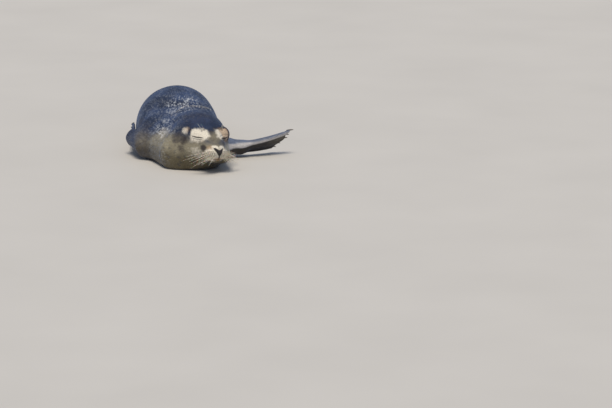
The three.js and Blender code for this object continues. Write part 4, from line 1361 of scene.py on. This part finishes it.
def outward(points, faces):
    """The faces, turned so that the closed form's volume is positive."""
    a, b, c = (points[faces[:, i]] - points.mean(0) for i in range(3))
    return faces if (a * np.cross(b, c)).sum() > 0 else faces[:, ::-1]


def closed_tube(rings, ends):
    """Points and faces of a tube: its rings of corners, closed to a point at each of its two ends."""
    count, sides = rings.shape[:2]
    points = np.concatenate([rings.reshape(-1, 3), ends])
    j = np.arange(sides)
    k, last = (j + 1) % sides, (count - 1) * sides
    first = np.arange(0, last, sides)[:, None]
    a, b = (first + j).ravel(), (first + k).ravel()
    top, bottom = np.full(sides, count * sides), np.full(sides, count * sides + 1)
    faces = [(a, b, b + sides), (a, b + sides, a + sides), (top, k, j), (bottom, last + j, last + k)]
    return points, outward(points, np.concatenate([np.stack(f, 1) for f in faces]))


def ball(centre, radius, rings=24, sides=48):
    """Points and faces of a sphere."""
    theta = np.linspace(0, np.pi, rings + 1)[1:-1, None]
    phi = np.arange(sides) * 2 * np.pi / sides
    wide, high = np.sin(theta), np.cos(theta) + 0 * phi
    shell = np.stack([wide * np.cos(phi), wide * np.sin(phi), high], -1)
    return closed_tube(centre + radius * shell, centre + radius * np.array([[0, 0, 1], [0, 0, -1]]))


for side, sign in (("left", LEFT_SIDE), ("right", RIGHT_SIDE)):
    eye = mesh_from(f"eyeball_{side}", *ball(from_head(EYE_IN_HEAD * sign), EYE_RADIUS), wet)
    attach(eye, "root")
    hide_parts(f"eye_{side}")

# %% [markdown]
# ## Claws
#
# Each digit ends in a dark horn claw, larger on the fore flippers. Horn is keratin laid down in rings, so
# it is smooth along its length, slightly paler at the tip where it wears, and satin rather than glossy.

# %% Claws of each flipper
horn, tree, shader = start_material("claw_horn_worn", IOR=1.55, Coat_Weight=0.15, Coat_Roughness=0.3)
along = node(tree, "Attribute", attribute_name="along").outputs["Fac"]
growth = node(tree, "TexNoise", {"Vector": node(tree, "TexCoord").outputs["Object"], "Scale": per_mm(2.2)})
worn = node(tree, "Math", {0: growth, 1: 0.5, 2: along}, **TIMES_ADD)
worn = node(tree, "MapRange", {0: worn, 1: 0.35, 2: 1.35}, **SMOOTH)
node(tree, "Mix", {0: worn, 6: linear("#1d1917"), 7: linear("#5f5349")},
     to=shader.inputs["Base Color"], **COLOURS)
node(tree, "MapRange", {0: growth, 3: 0.28, 4: 0.48}, to=shader.inputs["Roughness"])

CLAW_SIDES, CLAW_STATIONS, CLAW_BEND = 14, np.linspace(0, 0.98, 15), 0.28
CLAW_SIZE = {"fore": (23, 2.6, 11), "hind": (15, 2.0, 8)}  # length, radius at the root, length let in
EDGE_TO_CLAW = 5  # mm from the flipper's edge to the outermost claws


def claw(blade, u, size):
    """Points, faces and place along the horn for one digit's claw."""
    length, radius, inset = size
    reach = blade.length * blade.reach(u)
    y = u * (blade.shape(reach, 0.0)[0] - EDGE_TO_CLAW)
    _, end, r, _, _ = blade.shape(reach, y)
    s = np.append(CLAW_STATIONS, 1.0)
    line = np.stack([end - inset + s * length, y + 0.16 * u * s * length,
                     0.55 * r + 0.6 * radius - CLAW_BEND * length * s * s], 1)
    width = radius * np.sqrt(1 - s) * 0.95 + 0.25
    angle = 2 * np.pi * np.arange(CLAW_SIDES) / CLAW_SIDES
    section = np.stack([0 * angle, np.cos(angle), 1.25 * np.sin(angle)], 1)
    rings, ends = line[:-1, None] + width[:-1, None, None] * section, line[[0, -1]]
    for q in (rings, ends):
        q[..., 2] += blade.rise(q[..., 0])
    points, faces = closed_tube(blade.world(rings), blade.world(ends))
    return points, faces, np.append(np.repeat(CLAW_STATIONS, CLAW_SIDES), (0, 1))


def joined(parts):
    """One set of points, faces and values from several."""
    starts = np.cumsum([0] + [len(p[0]) for p in parts])
    faces = np.concatenate([p[1] + start for p, start in zip(parts, starts)])
    return np.concatenate([p[0] for p in parts]), faces, np.concatenate([p[2] for p in parts])


for name, blade in FLIPPERS.items():
    which, side = name.split("_")
    points, faces, place_along = joined([claw(blade, u, CLAW_SIZE[which]) for u in DIGITS])
    claws = mesh_from(f"claws_{name}", points, faces, horn)
    carry(claws.data, {"along": place_along})
    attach(claws, "root")
    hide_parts(*[f"{which}_claw_{side}_{i + 1}" for i in range(5)])
    print("claws of the", name, "flipper, lowest", round(float(points[:, 2].min()), 2), "mm")

# %% [markdown]
# ## Whiskers
#
# A harbor seal's whiskers are flattened and beaded: their width waxes and wanes every few millimetres
# from root to tip, which keeps them from trembling in the water. They are stiff, pale and slightly clear.
# Each is a tapering tube grown step by step from its pore, out and then drooping back, pushed clear of
# the cheek and the floor as it goes.

# %% Growing the whiskers
WHISKER_STEP, BEADS_MM = 1.5, 4.6
WHISKER_SIDES, PORE_DEPTH, OFF_FLOOR = 5, 1.5, 1.6


def grow(starts, ways, sag, lengths, root_radius):
    """Tubes grown from head points; ways are first directions, sag how much they turn towards the droop."""
    steps = int(lengths.max() / WHISKER_STEP)
    p, way = from_head(starts), unit(ways) @ HEAD_AXES.T
    droop = unit(sag) @ HEAD_AXES.T
    centres = [p - PORE_DEPTH * way]
    stride = (lengths / steps)[:, None]
    for i in range(steps):
        way = unit(way + 0.5 * stride / lengths[:, None] * droop)
        p = p + stride * way
        clear = 0.5 + 3.5 * min(1, i / 8)
        inside = np.maximum(clear - seal(p), 0)[:, None]
        slope = np.stack([seal(p + 0.5 * axis) - seal(p - 0.5 * axis) for axis in np.eye(3)], 1)
        p = p + np.minimum(inside, 1.2) * unit(slope)
        p[:, 2] = np.maximum(p[:, 2], OFF_FLOOR)
        way = unit(p - centres[-1]) if i else way
        centres.append(p)
    angle = 2 * np.pi * np.arange(WHISKER_SIDES)[:, None] / WHISKER_SIDES
    parts = []
    for line, length in zip(np.stack(centres, 1), lengths):
        s = np.linspace(0, 1, len(line))
        run = unit(np.gradient(line, axis=0))
        side = unit(np.cross(run, [0, 0, 1]))
        up = np.cross(side, run)
        beads = 1 + 0.14 * np.sin(2 * np.pi * s * length / BEADS_MM) * ramp(s, 0, 0.1)
        radius = root_radius * (1 - 0.78 * s**0.9) * beads
        section = side[:, None] * np.cos(angle) * 1.25 + up[:, None] * np.sin(angle) * 0.8
        points, faces = closed_tube(line[:, None] + radius[:, None, None] * section, line[[0, -1]])
        parts.append((points, faces, np.append(np.repeat(s, WHISKER_SIDES), (0, 1))))
    return parts


keratin, tree, shader = start_material("whisker_keratin_clear", IOR=1.55, Roughness=0.3,
                                       Subsurface_Weight=0.2, Subsurface_Scale=0.0005)
along = node(tree, "Attribute", attribute_name="along").outputs["Fac"]
node(tree, "Mix", {0: along, 6: linear("#c9bda6"), 7: linear("#f6f0e2")},
     to=shader.inputs["Base Color"], **COLOURS)


def each(count, x, y, z):
    """Rows of three, from numbers or arrays of that count."""
    return np.stack([np.zeros(count) + part for part in (x, y, z)], 1)


for side, sign in (("left", LEFT_SIDE), ("right", RIGHT_SIDE)):
    count = len(left_pores)
    back, high = (left_pores[:, 1] + 95) / 40, (left_pores[:, 2] + 44) / 24  # 0 to 1 over the pad
    ways = each(count, 0.85, -0.22 + 0.7 * back, -0.52 + 0.34 * high) + rng.normal(0, 0.1, (count, 3))
    sag = each(count, 0.15, 0.6 + 0.2 * back, -0.35)
    lengths = (34 + 84 * np.clip(back, 0, 1)) * rng.uniform(0.7, 1.12, count)
    parts = grow(left_pores * sign, ways * sign, sag * sign, lengths, 0.68)
    count = len(brow_pores)
    ways = each(count, 0.35, 0.1, 1) + rng.normal(0, 0.15, (count, 3))
    sag = each(count, 0.5, 0.5, -0.3)
    parts += grow(brow_pores * sign, ways * sign, sag * sign, rng.uniform(20, 34, count), 0.32)
    points, faces, place_along = joined(parts)
    whiskers = mesh_from(f"whiskers_{side}", points, faces, keratin)
    carry(whiskers.data, {"along": place_along})
    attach(whiskers, "root")
    print("whiskers", side, len(parts), "lowest", round(float(points[:, 2].min()), 2), "mm")

# %% [markdown]
# ## Floor and light
#
# A plain pale floor keeps the eye on the animal. One wide soft light from high in front, like a sun behind
# thin cloud, gives the coat its sheen and leaves the throat in shade. The rest is an even cool light from
# all round, so the floor stays equally bright from every side.

# %% Floor
FLOOR_METRES = 80
floor_paint, tree, shader = start_material("matte_floor_paint", IOR=1.5, Specular_IOR_Level=0.2)
mottle = node(tree, "TexNoise", {"Vector": node(tree, "TexCoord").outputs["Object"], "Scale": per_mm(400)})
node(tree, "Mix", {0: mottle, 6: linear("#cfccc6"), 7: linear("#d8d5cf")},
     to=shader.inputs["Base Color"], **COLOURS)
node(tree, "MapRange", {0: mottle, 3: 0.8, 4: 0.95}, to=shader.inputs["Roughness"])
bpy.ops.mesh.primitive_plane_add(size=FLOOR_METRES)
floor = bpy.context.object
floor.name = "floor"
floor.data.materials.append(floor_paint)

# %% Lights
SUN_FROM, SUN_WATTS, SUN_DEGREES = Vector((-0.06, -0.5, 0.86)), 2.5, 24

lamp = bpy.data.lights.new("soft_sun", "SUN")
lamp.energy, lamp.angle, lamp.color = SUN_WATTS, math.radians(SUN_DEGREES), linear("#fff5e6")[:3]
sun = bpy.data.objects.new("soft_sun", lamp)
sun.rotation_euler = SUN_FROM.to_track_quat("Z", "Y").to_euler()
bpy.context.scene.collection.objects.link(sun)

SKY_COLOUR, SKY_STRENGTH = "#c6d7f6", 0.38

world = bpy.data.worlds.new("overcast")
bpy.context.scene.world = world
world.use_nodes = True
sky = world.node_tree.nodes["Background"].inputs
sky["Color"].default_value, sky["Strength"].default_value = linear(SKY_COLOUR), SKY_STRENGTH
bpy.context.scene.view_settings.view_transform = "Standard"

# %% The end
bpy.context.view_layer.update()
